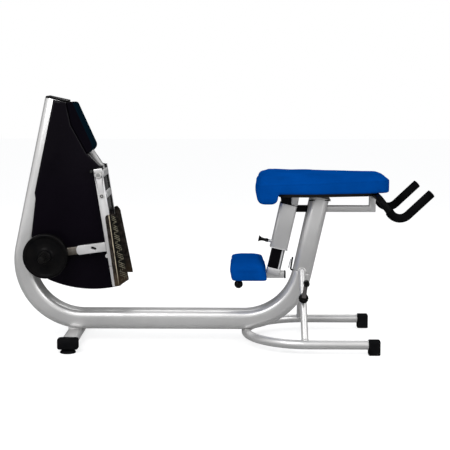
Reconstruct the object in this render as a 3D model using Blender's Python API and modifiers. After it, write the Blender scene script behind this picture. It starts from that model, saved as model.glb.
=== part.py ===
"""Glute machine: a bent frame, two weighted kick levers, a bench pad and a height-adjustable knee pad.

+X runs from the tower to the bench, the user's left is +Y, +Z is up and the floor is Z = 0. Metres.
"""

from math import atan2, ceil, cos, pi, radians, sin, tan

import bmesh
import bpy
from mathutils import Matrix, Vector

GAP = 0.0003  # between pieces that touch
RUNNING = 0.0001  # radial clearance of a turning fit

# Main frame: one rounded rectangular tube, bent twice
LEAN = radians(12.5)  # of the tower and of the bench upright, both towards the bench
TUBE_DEPTH = 0.085
TUBE_WIDTH = 0.120
TUBE_CORNER = 0.020
TUBE_WALL = 0.003
BEND_RADIUS = 0.270
SEAM_PAST_BEND = 0.012
RUN_Z = 0.1005
TOWER_FOOT_X = -0.9499
UPRIGHT_FOOT_X = 0.3307
TOWER_TOP_Z = 1.099
UPRIGHT_TOP_Z = 0.656

TOWER_PLATE_LENGTH = 0.096
TOWER_PLATE_AHEAD = 0.010
HEAD_FLANGE_LENGTH = 0.098
FLANGE_THICKNESS = 0.007

# Feet
FOOT_X = -0.655
FOOT_TUBE_DEPTH = 0.072
FOOT_TUBE_HEIGHT = 0.036
FOOT_TUBE_REACH = 0.275
FOOT_TUBE_WALL = 0.0025
SADDLE_LENGTH = 0.060  # welded on the foot, under the bend of the main tube
SADDLE_WIDTH = 0.080
FOOT_CAP_WALL = 0.010
FOOT_CAP_LENGTH = 0.060
LEVELLER_RADIUS = 0.035
LEVELLER_PAD = 0.011
LEVELLER_INSET = 0.017
FLOOR_TUBE_RADIUS = 0.020
FLOOR_TUBE_WALL = 0.0025
FLOOR_TUBE_Z = 0.043
FLOOR_TUBE_HALF_WIDTH = 0.275
FLOOR_TUBE_ARC_X = 0.400
FLOOR_TUBE_END_X = 0.695
FLOOR_CAP_BACK_X = 0.657
FLOOR_CAP_FRONT_X = 0.709
FLOOR_CAP_WIDTH = 0.052
FLOOR_CAP_HEIGHT = 0.064
BRACE_RADIUS = 0.015
BRACE_WALL = 0.002
BRACE_FOOT_X = 0.383
BRACE_TOP_Z = 0.330

# Kick levers
PIVOT_X = -0.529
PIVOT_Z = 0.7675
LEVER_LEAN = radians(8.53)  # foot end towards the bench
BAR_DEPTH = 0.038
BAR_THICKNESS = 0.020
BAR_INNER_Y = 0.090
BAR_ABOVE = 0.032
BAR_BELOW = 0.506
BAR_EDGE = 0.003
HOUSING_RADIUS = 0.0225
AXLE_RADIUS = 0.010
BUSH_RADIUS = 0.0145
BUSH_FLANGE_RADIUS = 0.019
BUSH_FLANGE = 0.0015
NUT_RADIUS = 0.015
NUT_HEIGHT = 0.008
GUIDE_BELOW = 0.095
GUIDE_RADIUS = 0.018
GUIDE_THICKNESS = 0.005
GUIDE_BOLT_RADIUS = 0.005
GUIDE_WEB = 0.010  # carries the guide tube under the pivot housing
GUIDE_WEB_WIDTH = 0.040
GUIDE_HEAD_RADIUS = 0.009
GUIDE_HEAD = 0.006
STOP_ABOVE = 0.020
STOP_BAR_RADIUS = 0.006
STOP_SLEEVE_RADIUS = 0.010

# Foot plates, in each plate's own plane: s runs down, t runs outwards
PLATE_TOP_BELOW = 0.183
PLATE_AHEAD = 0.027
PLATE_LEAN = radians(10.9)
PLATE_TURN = radians(14.3)
PLATE_HEIGHT = 0.302
PLATE_TOP_WIDTH = 0.081
PLATE_BOTTOM_WIDTH = 0.132
PLATE_FLANGE = 0.020
PLATE_THICKNESS = 0.0025
TREAD_THICKNESS = 0.003
TREAD_MARGIN = 0.005

# Weight arms
STRUT_BELOW = 0.322
STRUT_DEPTH = 0.040
DISC_BELOW = 0.318
DISC_BEHIND = 0.285
DISC_RADIUS = 0.100
DISC_THICKNESS = 0.040
HORN_RADIUS = 0.014
HORN_FLANGE_RADIUS = 0.034
HORN_FLANGE = 0.019
HORN_END = 0.100  # past the disc
COLLAR_RADIUS = 0.025
COLLAR_LENGTH = 0.024

# Tower casing
CASING_HALF_WIDTH = 0.084
CASING_WALL = 0.003
CASING_RIM = 0.012
CASING_FIT = 0.001
CASING_BEHIND_BAR = 0.004
CASING_TOP_AHEAD = 0.059
CASING_BROW_DOWN = 0.113  # below the tower's top
CASING_BROW_ACROSS = 0.1031  # from the tower's centreline
CASING_CHIN_BEHIND = 0.0545  # behind and above the pivot
CASING_CHIN_ABOVE = 0.0945
CASING_THROAT_BEHIND = 0.0007
CASING_THROAT_ABOVE = 0.0396
CASING_STEP_ABOVE = 0.0368
CASING_TOE_ABOVE = 0.1645  # above the run's centreline
CASING_BELLY_BEHIND = 0.072
CASING_BELLY_ABOVE = 0.1495
CASING_HEEL_ACROSS = 0.1399
CASING_HEEL_ABOVE = 0.1915
CASING_FLANK_ACROSS = 0.0708
CASING_FLANK_ABOVE = 0.2845
CASING_EDGE_ABOVE = (0.3945, 0.5595, 0.5835)  # where its back edge leaves the tower's centreline
CASING_EDGE_AHEAD = (0.024, 0.009, 0.0)

# Front cover
COVER_HALF_WIDTH = 0.0825
COVER_WALL = 0.0035
COVER_EDGE = 0.003
COVER_TOP_DOWN = 0.0156
COVER_TOP_ACROSS = 0.0876
COVER_HIP_BEHIND = 0.031
COVER_HIP_ABOVE = 0.1371
COVER_TOE_BEHIND = 0.0437
COVER_TOE_ABOVE = 0.0957
COVER_CHEEK_ABOVE = 0.0187
COVER_JAW_AHEAD = 0.009
COVER_JAW_ABOVE = 0.010

# Pivot arm
ARM_WIDTH = 0.040
ARM_DEPTH = 0.020
ARM_START_DOWN = 0.051
ARM_SHOULDER_DOWN = 0.114
ARM_SHOULDER_ACROSS = 0.0918
ARM_ELBOW_BEHIND = 0.0452
ARM_ELBOW_ABOVE = 0.1045
ARM_FOOT_BEHIND = -0.0071
ARM_FOOT_ABOVE = 0.027

# Bench
RAIL_BELOW_BOARD = 0.054
RAIL_HEIGHT = 0.027
RAIL_WIDTH = 0.040
RAIL_END_X = 0.707
POST_DEPTH = 0.028
STRIP_THICKNESS = 0.008
STRIP_START_X = 0.505
BOARD_BOTTOM_Z = 0.675
BOARD_INSET = 0.035
BOARD_FIT = 0.004
BOARD_THICKNESS = 0.015
PAD_START_X = 0.169
PAD_END_X = 0.760
PAD_HALF_WIDTH = 0.200
PAD_HEAD_HALF_WIDTH = 0.130
PAD_TAPER_X = 0.420
PAD_CROWN_Z = 0.774
PAD_SEAM_Z = 0.733
PAD_ROLL_Z = 0.650
PAD_ROLL_END_X = 0.258

# Handlebar
HANDLE_RADIUS = 0.015
GRIP_RADIUS = 0.019
HANDLE_X = 0.706
HANDLE_Z = 0.672
HANDLE_Y = 0.220
HANDLE_LOW_X = 0.7836
HANDLE_LOW_Z = 0.5665
HANDLE_TIP_X = 0.925
HANDLE_TIP_Z = 0.7007
HANDLE_BEND = 0.050

# Knee rest
SLEEVE_AHEAD = -0.128  # from the upright's centreline
SLEEVE_DEPTH = 0.078
SLEEVE_WALL = 0.003
SLEEVE_CORNER = 0.010
SLEEVE_BOTTOM_Z = 0.427
SLEEVE_TOP_Z = 0.628
TOP_BLOCK_X = 0.302
TOP_BLOCK_DEPTH = 0.046
TOP_BLOCK_LIP = 0.005
KNEE_POST_DEPTH = 0.060
KNEE_POST_WALL = 0.003
KNEE_POST_CORNER = 0.006
KNEE_POST_TOP_Z = 0.600
KNEE_TRAVEL = 0.044
KNEE_STUB_TOP_Z = 0.338
KNEE_STUB_LIP = 0.001
PIN_PITCH = 0.022
LINK_BOTTOM_Z = 0.594
LINK_TOP_Z = 0.621
LINK_WIDTH = 0.050
KNEE_ARM_TOP_Z = 0.3205
KNEE_ARM_HEIGHT = 0.0295
KNEE_ARM_WIDTH = 0.040
KNEE_ARM_START_X = 0.070
KNEE_ARM_END_X = 0.298
KNEE_CAP_LENGTH = 0.007
KNEE_PAD_START_X = 0.052
KNEE_PAD_END_X = 0.213
KNEE_PAD_HALF_WIDTH = 0.170
KNEE_PAD_BOTTOM_Z = 0.302
KNEE_PAD_SEAM_Z = 0.342
KNEE_PAD_TOP_Z = 0.386
KNEE_PLATE_THICKNESS = 0.004
KNEE_PLATE_WIDTH = 0.120
KNOB_X = 0.091
KNOB_RADIUS = 0.018
KNOB_STEM_RADIUS = 0.005
KNOB_STEM = 0.013

# Pull pin
PIN_Z = 0.450
PIN_RADIUS = 0.005
PIN_PULL = 0.012
PIN_COLLAR_RADIUS = 0.0065
PIN_COLLAR = 0.0145
PIN_FLANGE_RADIUS = 0.010
PIN_FLANGE = 0.002
PIN_KNOB_RADIUS = 0.0140
PIN_MOUTH_RADIUS = 0.0082
PIN_KNOB = 0.044

# Clamp lever on the right-hand brace
CLAMP_Z = 0.231
CLAMP_BOSS_RADIUS = 0.014
CLAMP_BOSS_Y = 0.172
CLAMP_HUB_RADIUS = 0.0225
CLAMP_HUB = 0.028
CLAMP_ARM = 0.073
CLAMP_ARM_DEPTH = 0.019
CLAMP_ARM_THICKNESS = 0.012
CLAMP_ARM_CORNER = 0.006
CLAMP_TAPER = 0.9
CLAMP_KNOB_RADIUS = 0.0135
CLAMP_KNOB = 0.042

# Hook on the upright
HOOK_Z = 0.317
HOOK_LENGTH = 0.058
HOOK_RADIUS = 0.004
HOOK_STAND_OFF = 0.010

ROUND_SIDES = 20
DISC_SIDES = 36
HOLE_SIDES = 16
SILVER = ((0.60, 0.61, 0.64), 0.32, 0.65)
CHROME = ((0.72, 0.73, 0.75), 0.12, 1.0)
STEEL = ((0.55, 0.55, 0.56), 0.35, 1.0)
BLACK_PAINT = ((0.015, 0.015, 0.018), 0.35, 0.1)
BLACK_GLOSS = ((0.008, 0.009, 0.014), 0.12, 0.0)
BLACK_RUBBER = ((0.018, 0.018, 0.018), 0.75, 0.0)
COVER_BLUE_BLACK = ((0.012, 0.016, 0.034), 0.20, 0.0)
PLATE_BROWN = ((0.028, 0.024, 0.021), 0.55, 0.3)
IRON = ((0.014, 0.014, 0.016), 0.30, 0.2)
NYLON = ((0.05, 0.05, 0.05), 0.50, 0.0)
BRONZE = ((0.45, 0.28, 0.12), 0.35, 1.0)
BLUE_VINYL = ((0.0, 0.11, 0.42), 0.38, 0.0)
BOARD_BLACK = ((0.02, 0.02, 0.02), 0.70, 0.0)


def emptied_scene():
    for obj in list(bpy.data.objects):
        bpy.data.objects.remove(obj, do_unlink=True)
    collections = []
    for name in ("glute_machine", "cutters"):
        collection = bpy.data.collections.new(name)
        bpy.context.scene.collection.children.link(collection)
        collections.append(collection)
    return collections


PARTS, CUTTERS = emptied_scene()


def smooth(mesh, angle=radians(35)):
    mesh.shade_smooth()
    mesh.set_sharp_from_angle(angle=angle)


def mesh_object(name, bm):
    mesh = bpy.data.meshes.new(name)
    bm.to_mesh(mesh)
    bm.free()
    smooth(mesh)
    obj = bpy.data.objects.new(name, mesh)
    CUTTERS.objects.link(obj)
    return obj


def part(obj, name, finish, parent=None):
    """Names a finished piece, gives it its own material and moves it to the machine's collection."""
    colour, roughness, metallic = finish
    material = bpy.data.materials.new(name)
    material.use_nodes = True
    shader = material.node_tree.nodes["Principled BSDF"]
    shader.inputs["Base Color"].default_value = (*colour, 1)
    shader.inputs["Roughness"].default_value = roughness
    shader.inputs["Metallic"].default_value = metallic
    obj.data.materials.clear()
    obj.data.materials.append(material)
    obj.name = name
    obj.data.name = name
    CUTTERS.objects.unlink(obj)
    PARTS.objects.link(obj)
    if parent:
        obj.parent = parent
        obj.matrix_parent_inverse = Matrix.Translation(-parent.location)
    return obj


def cutter(obj):
    obj.hide_render = True
    obj.display_type = "WIRE"
    return obj


def boolean(obj, tool, operation="DIFFERENCE"):
    step = obj.modifiers.new(operation.lower(), "BOOLEAN")
    step.operation = operation
    step.solver = "EXACT"
    step.object = cutter(tool)
    return obj


def cut(obj, *tools):
    for tool in tools:
        boolean(obj, tool)
    return obj


def rounded(obj, width, segments=3, angle=radians(40)):
    step = obj.modifiers.new("rounded_edges", "BEVEL")
    step.width = width
    step.segments = segments
    step.angle_limit = angle
    return obj


def baked(curve):
    """The curve object as a mesh object, its caps welded."""
    bpy.context.view_layer.update()
    graph = bpy.context.evaluated_depsgraph_get()
    mesh = bpy.data.meshes.new_from_object(curve.evaluated_get(graph))
    bm = bmesh.new()
    bm.from_mesh(mesh)
    bmesh.ops.remove_doubles(bm, verts=bm.verts, dist=1e-5)
    bmesh.ops.dissolve_limit(bm, angle_limit=radians(0.1), verts=bm.verts, edges=bm.edges)
    bmesh.ops.recalc_face_normals(bm, faces=bm.faces)
    bm.to_mesh(mesh)
    bm.free()
    smooth(mesh)
    obj = bpy.data.objects.new(curve.name, mesh)
    obj.matrix_world = curve.matrix_world
    CUTTERS.objects.link(obj)
    bpy.data.objects.remove(curve, do_unlink=True)
    return obj


def flat(outline, centre, thickness, plane="XZ"):
    """A plate: the outline, in the plane named, thickened evenly about its centre."""
    data = bpy.data.curves.new("plate", "CURVE")
    data.dimensions = "2D"
    data.fill_mode = "BOTH"
    data.extrude = thickness / 2
    spline = data.splines.new("POLY")
    spline.points.add(len(outline) - 1)
    for point, (a, b) in zip(spline.points, outline):
        point.co = (a, b, 0, 1)
    spline.use_cyclic_u = True
    obj = bpy.data.objects.new("plate", data)
    CUTTERS.objects.link(obj)
    if plane == "XZ":
        obj.rotation_euler = (pi / 2, 0, 0)
        obj.location = (0, centre, 0)
    elif plane == "YZ":
        obj.rotation_euler = (pi / 2, 0, pi / 2)
        obj.location = (centre, 0, 0)
    else:
        obj.location = (0, 0, centre)
    return baked(obj)


def block(low, high, edge=0.0, segments=3):
    """A box from its low corner to its high one, its edges rounded if edge is given."""
    low = Vector(low)
    high = Vector(high)
    bm = bmesh.new()
    bmesh.ops.create_cube(bm, size=1)
    size = Matrix.Diagonal((*(high - low), 1))
    bmesh.ops.transform(bm, matrix=Matrix.Translation((low + high) / 2) @ size, verts=bm.verts)
    obj = mesh_object("block", bm)
    return rounded(obj, edge, segments) if edge else obj


def rod(start, end, radius, sides=ROUND_SIDES):
    """A solid cylinder between two points."""
    start = Vector(start)
    end = Vector(end)
    bm = bmesh.new()
    bmesh.ops.create_cone(
        bm, cap_ends=True, segments=sides, radius1=radius, radius2=radius, depth=(end - start).length
    )
    turn = Vector((0, 0, 1)).rotation_difference(end - start).to_matrix().to_4x4()
    bmesh.ops.transform(bm, matrix=Matrix.Translation((start + end) / 2) @ turn, verts=bm.verts)
    return mesh_object("rod", bm)


def cross_rod(x, z, y0, y1, radius, sides=ROUND_SIDES):
    return rod((x, y0, z), (x, y1, z), radius, sides)


def turned(profile, base, axis, ring=False, sides=ROUND_SIDES):
    """A turned piece: (radius, height) points down its outer side, standing on base along axis.

    A ring's points go on up its bore and close on the first.
    """
    bm = bmesh.new()
    verts = [bm.verts.new((radius, 0, height)) for radius, height in profile]
    for first, second in zip(verts, verts[1:]):
        bm.edges.new((first, second))
    if ring:
        bm.edges.new((verts[-1], verts[0]))
    turn = Vector((0, 0, 1)).rotation_difference(Vector(axis)).to_matrix().to_4x4()
    obj = mesh_object("turned", bm)
    obj.matrix_world = Matrix.Translation(base) @ turn
    step = obj.modifiers.new("turn", "SCREW")
    step.steps = sides
    step.render_steps = sides
    step.use_merge_vertices = True
    step.merge_threshold = 1e-5
    return obj


def path_with_bends(points, radius, chord_angle=radians(9)):
    """The polyline with each inner corner replaced by an arc of the radius."""
    points = [Vector(point) for point in points]
    path = [points[0]]
    for before, corner, after in zip(points, points[1:], points[2:]):
        back = (before - corner).normalized()
        ahead = (after - corner).normalized()
        turn = pi - back.angle(ahead)
        reach = radius * tan(turn / 2)
        centre = corner + (back + ahead).normalized() * (radius / cos(turn / 2))
        start = corner + back * reach - centre
        axis = start.cross(corner + ahead * reach - centre).normalized()
        steps = max(2, ceil(turn / chord_angle))
        for step in range(steps + 1):
            path.append(centre + Matrix.Rotation(turn * step / steps, 3, axis) @ start)
    path.append(points[-1])
    return path


def curve_along(path, cyclic=False):
    data = bpy.data.curves.new("path", "CURVE")
    data.dimensions = "3D"
    spline = data.splines.new("POLY")
    spline.points.add(len(path) - 1)
    for point, place in zip(spline.points, path):
        point.co = (*place, 1)
    spline.use_cyclic_u = cyclic
    obj = bpy.data.objects.new("path", data)
    CUTTERS.objects.link(obj)
    return obj


def hollowed(obj, wall):
    step = obj.modifiers.new("wall", "SOLIDIFY")
    step.thickness = wall
    step.offset = -1
    step.use_even_offset = True
    return obj


def round_tube(path, radius, wall=0.0, resolution=3):
    """A round tube along the path: open-ended with a wall, or a solid bar without one."""
    curve = curve_along(path)
    curve.data.bevel_depth = radius
    curve.data.bevel_resolution = resolution
    curve.data.use_fill_caps = not wall
    obj = baked(curve)
    return hollowed(obj, wall) if wall else obj


def section(depth, width, corner, steps=2):
    """A rounded rectangle as a hidden guide curve: depth across the bend plane, width along Y."""
    corner = max(corner, 0.0005)
    points = []
    for turn, (sx, sy) in enumerate(((1, 1), (-1, 1), (-1, -1), (1, -1))):
        centre = Vector((sx * (depth / 2 - corner), sy * (width / 2 - corner), 0))
        for step in range(steps + 1):
            angle = pi / 2 * (turn + step / steps)
            points.append(centre + corner * Vector((cos(angle), sin(angle), 0)))
    return curve_along(points, cyclic=True)


def box_tube(points, depth, width, corner, wall=0.0, bend=None, chord_angle=radians(9)):
    """A rounded rectangular tube bent in the XZ plane: points are (x, z), depth lies in that plane."""
    path = [Vector((x, z, 0)) for x, z in points]
    if bend:
        path = path_with_bends(path, bend, chord_angle)
    guide = section(depth, width, corner)
    guide.data.dimensions = "2D"
    curve = curve_along(path)
    curve.data.dimensions = "2D"
    curve.data.bevel_mode = "OBJECT"
    curve.data.bevel_object = guide
    curve.data.use_fill_caps = not wall
    curve.rotation_euler = (pi / 2, 0, 0)
    obj = baked(curve)
    bpy.data.objects.remove(guide, do_unlink=True)
    return hollowed(obj, wall) if wall else obj


def arc_through(first, middle, last, steps):
    """Points from first to last on the circle through all three, in a plane."""
    (ax, ay), (bx, by), (cx, cy) = first, middle, last
    d = 2 * (ax * (by - cy) + bx * (cy - ay) + cx * (ay - by))
    a2, b2, c2 = ax * ax + ay * ay, bx * bx + by * by, cx * cx + cy * cy
    ux = (a2 * (by - cy) + b2 * (cy - ay) + c2 * (ay - by)) / d
    uy = (a2 * (cx - bx) + b2 * (ax - cx) + c2 * (bx - ax)) / d
    start = atan2(ay - uy, ax - ux)
    end = atan2(cy - uy, cx - ux)
    turn = (end - start + pi) % (2 * pi) - pi
    radius = ((ax - ux) ** 2 + (ay - uy) ** 2) ** 0.5
    return [
        (ux + radius * cos(start + turn * step / steps), uy + radius * sin(start + turn * step / steps))
        for step in range(steps + 1)
    ]


def rounded_corners(outline, radius, chord_angle=radians(20)):
    """A closed outline with every corner replaced by an arc, radius given once or per corner."""
    count = len(outline)
    radii = radius if isinstance(radius, (list, tuple)) else [radius] * count
    points = []
    for index, size in enumerate(radii):
        corner = [(*outline[(index + shift) % count], 0) for shift in (-1, 0, 1)]
        if size:
            points += [(p.x, p.y) for p in path_with_bends(corner, size, chord_angle)[1:-1]]
        else:
            points.append(outline[index])
    return points


# Places on the frame
UP = Vector((sin(LEAN), 0, cos(LEAN)))
AHEAD = Vector((cos(LEAN), 0, -sin(LEAN)))


def on_tower(z, ahead=0.0):
    """The point at height z on the tower's centreline, moved ahead square to it."""
    return Vector((TOWER_FOOT_X + (z - RUN_Z) * tan(LEAN), 0, z)) + AHEAD * ahead


def on_upright(z, ahead=0.0):
    return Vector((UPRIGHT_FOOT_X + (z - RUN_Z) * tan(LEAN), 0, z)) + AHEAD * ahead


def beside_tower(z, across):
    """The point at height z, level with the tower's centreline there and across from it."""
    return on_tower(z) + Vector((across, 0, 0))


def from_pivot(behind, above):
    return Vector((PIVOT_X - behind, 0, PIVOT_Z + above))


def xz(point):
    return point.x, point.z


BEND_REACH = BEND_RADIUS * tan((pi / 2 - LEAN) / 2)
SEAM = Vector((UPRIGHT_FOOT_X, 0, RUN_Z)) + UP * (BEND_REACH + SEAM_PAST_BEND)
FRAME_PATH = [xz(on_tower(TOWER_TOP_Z)), (TOWER_FOOT_X, RUN_Z), (UPRIGHT_FOOT_X, RUN_Z), xz(SEAM)]
UPRIGHT_PATH = [xz(SEAM + UP * GAP), xz(on_upright(UPRIGHT_TOP_Z))]


def frame_envelope(clear, beyond=0.05):
    """Tower, run and upright as one solid, grown by a clearance, to cut what meets them."""
    path = [xz(on_tower(TOWER_TOP_Z + beyond)), *FRAME_PATH[1:-1], xz(on_upright(UPRIGHT_TOP_Z))]
    size = TUBE_DEPTH + 2 * clear, TUBE_WIDTH + 2 * clear
    return box_tube(path, *size, TUBE_CORNER + clear, bend=BEND_RADIUS)


def main_frame():
    tube = TUBE_DEPTH, TUBE_WIDTH, TUBE_CORNER, TUBE_WALL
    part(box_tube(FRAME_PATH, *tube, bend=BEND_RADIUS), "main_frame_tube", SILVER)
    part(box_tube(UPRIGHT_PATH, *tube), "bench_upright", SILVER)
    plates = (
        ("tower_top_plate", on_tower(TOWER_TOP_Z, TOWER_PLATE_AHEAD), TOWER_PLATE_LENGTH, BLACK_PAINT),
        ("head_flange", on_upright(UPRIGHT_TOP_Z), HEAD_FLANGE_LENGTH, SILVER),
    )
    for name, foot, length, finish in plates:
        middle = foot + UP * (GAP + FLANGE_THICKNESS / 2)
        outline = [
            xz(middle + AHEAD * length / 2 * side + UP * FLANGE_THICKNESS / 2 * level)
            for side, level in ((-1, -1), (1, -1), (1, 1), (-1, 1))
        ]
        plate = rounded(flat(outline, 0, TUBE_WIDTH), 0.0015, 2)
        part(plate, name, finish)


def feet():
    centre_z = RUN_Z - TUBE_DEPTH / 2 - FOOT_TUBE_HEIGHT / 2 - GAP
    half_depth = FOOT_TUBE_DEPTH / 2
    half_height = FOOT_TUBE_HEIGHT / 2

    def oval(grow, y0, y1, wall=0.0):
        """A flat-sided oval bar along Y, or a tube with the wall given."""
        guide = section(FOOT_TUBE_DEPTH + 2 * grow, FOOT_TUBE_HEIGHT + 2 * grow, half_height + grow - 1e-4, 5)
        guide.data.dimensions = "2D"
        curve = curve_along([(0, y0, 0), (0, y1, 0)])
        curve.data.bevel_mode = "OBJECT"
        curve.data.bevel_object = guide
        curve.data.use_fill_caps = not wall
        curve.location = (FOOT_X, 0, centre_z)
        obj = baked(curve)
        bpy.data.objects.remove(guide, do_unlink=True)
        return hollowed(obj, wall) if wall else obj

    tube = oval(0, -FOOT_TUBE_REACH, FOOT_TUBE_REACH, FOOT_TUBE_WALL)
    saddle = block(
        (FOOT_X - SADDLE_LENGTH / 2, -SADDLE_WIDTH / 2, centre_z),
        (FOOT_X + SADDLE_LENGTH / 2, SADDLE_WIDTH / 2, RUN_Z),
    )
    inside = oval(-FOOT_TUBE_WALL / 2, -FOOT_TUBE_REACH, FOOT_TUBE_REACH)
    boolean(tube, cut(saddle, inside, frame_envelope(GAP)), "UNION")
    part(tube, "cross_foot_tube", SILVER)
    for name, side in (("right", -1), ("left", 1)):
        outer = FOOT_TUBE_REACH + FOOT_CAP_WALL
        inner = outer - FOOT_CAP_LENGTH
        ends = sorted((side * inner, side * outer))
        cap = block(
            (FOOT_X - half_depth - FOOT_CAP_WALL, ends[0], centre_z - half_height - 0.005),
            (FOOT_X + half_depth + FOOT_CAP_WALL, ends[1], centre_z + half_height + 0.006),
            0.005,
        )
        socket = oval(GAP, *sorted((side * (inner - 0.02), side * (FOOT_TUBE_REACH + GAP))))
        part(cut(cap, socket), "foot_cap_" + name, BLACK_RUBBER)
        cap_bottom = centre_z - half_height - 0.005
        profile = [
            (0, cap_bottom - GAP),
            (0.006, cap_bottom - GAP),
            (0.006, LEVELLER_PAD),
            (LEVELLER_RADIUS - 0.006, LEVELLER_PAD),
            (LEVELLER_RADIUS, LEVELLER_PAD - 0.004),
            (LEVELLER_RADIUS, 0.001),
            (LEVELLER_RADIUS - 0.001, 0),
            (0, 0),
        ]
        leveller = turned(profile, (FOOT_X, side * (FOOT_TUBE_REACH - LEVELLER_INSET), 0), (0, 0, 1))
        part(leveller, "levelling_foot_" + name, BLACK_RUBBER)


def floor_tube_path(end_x):
    half = FLOOR_TUBE_HALF_WIDTH
    arc = [
        Vector((FLOOR_TUBE_ARC_X - half * cos(angle), half * sin(angle), FLOOR_TUBE_Z))
        for angle in (radians(-90 + 10 * step) for step in range(19))
    ]
    return [Vector((end_x, -half, FLOOR_TUBE_Z)), *arc, Vector((end_x, half, FLOOR_TUBE_Z))]


def floor_frame():
    tube = round_tube(floor_tube_path(FLOOR_TUBE_END_X), FLOOR_TUBE_RADIUS, FLOOR_TUBE_WALL)
    part(cut(tube, frame_envelope(GAP)), "floor_u_tube", SILVER)
    for name, side in (("right", -1), ("left", 1)):
        y = side * FLOOR_TUBE_HALF_WIDTH
        cap = block(
            (FLOOR_CAP_BACK_X, y - FLOOR_CAP_WIDTH / 2, 0),
            (FLOOR_CAP_FRONT_X, y + FLOOR_CAP_WIDTH / 2, FLOOR_CAP_HEIGHT),
            0.006,
        )
        socket = rod(
            (FLOOR_CAP_BACK_X - 0.02, y, FLOOR_TUBE_Z),
            (FLOOR_TUBE_END_X + GAP, y, FLOOR_TUBE_Z),
            FLOOR_TUBE_RADIUS + GAP,
        )
        part(cut(cap, socket), "floor_tube_cap_" + name, BLACK_RUBBER)


def brace_ends(side):
    """The brace's centreline, from the middle of the floor tube to inside the upright."""
    foot = Vector((BRACE_FOOT_X, side * FLOOR_TUBE_HALF_WIDTH, FLOOR_TUBE_Z))
    top = on_upright(BRACE_TOP_Z, -0.006) + Vector((0, side * TUBE_WIDTH / 2, 0))
    return foot, top + (top - foot).normalized() * 0.012


def clamp_centre():
    """Where the right-hand brace's centreline is at the clamp lever's height."""
    foot, top = brace_ends(-1)
    return foot + (top - foot) * (CLAMP_Z - foot.z) / (top.z - foot.z)


def clamp_boss():
    centre = clamp_centre()
    return cross_rod(centre.x, CLAMP_Z, -CLAMP_BOSS_Y, centre.y, CLAMP_BOSS_RADIUS)


def braces():
    for name, side in (("brace_right", -1), ("brace_left", 1)):
        foot, top = brace_ends(side)
        leg = round_tube(floor_tube_path(FLOOR_TUBE_END_X), FLOOR_TUBE_RADIUS + GAP)
        brace = round_tube([foot, top], BRACE_RADIUS, BRACE_WALL)
        cut(brace, leg, frame_envelope(GAP))
        if side < 0:
            inside = rod(foot, top, BRACE_RADIUS - BRACE_WALL / 2)
            boolean(brace, cut(clamp_boss(), inside), "UNION")
        part(brace, name, SILVER)


# Kick levers: a point on one is (ahead of the bar's centreline, up along it), measured from the pivot
PIVOT = Vector((PIVOT_X, 0, PIVOT_Z))
LEVER_UP = Vector((-sin(LEVER_LEAN), 0, cos(LEVER_LEAN)))
LEVER_AHEAD = Vector((cos(LEVER_LEAN), 0, sin(LEVER_LEAN)))
BAR_OUTER_Y = BAR_INNER_Y + BAR_THICKNESS
BAR_MIDDLE_Y = BAR_INNER_Y + BAR_THICKNESS / 2
STOP_BEHIND = BAR_DEPTH / 2 + STOP_SLEEVE_RADIUS + GAP
AXLE_END = BAR_OUTER_Y + BUSH_FLANGE + 2 * GAP + NUT_HEIGHT + 0.004


def on_lever(ahead, up, y=0.0):
    return PIVOT + LEVER_AHEAD * ahead + LEVER_UP * up + Vector((0, y, 0))


STOP = on_lever(-STOP_BEHIND, STOP_ABOVE)


def guide_tube(clear=0.0, beyond=0.0):
    """The cross tube under the pivot, against whose ends the levers' guide discs rest."""
    guide = on_lever(0, -GUIDE_BELOW)
    reach = BAR_INNER_Y - GUIDE_THICKNESS - GAP + beyond
    return cross_rod(guide.x, guide.z, -reach, reach, HOUSING_RADIUS + clear)


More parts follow.
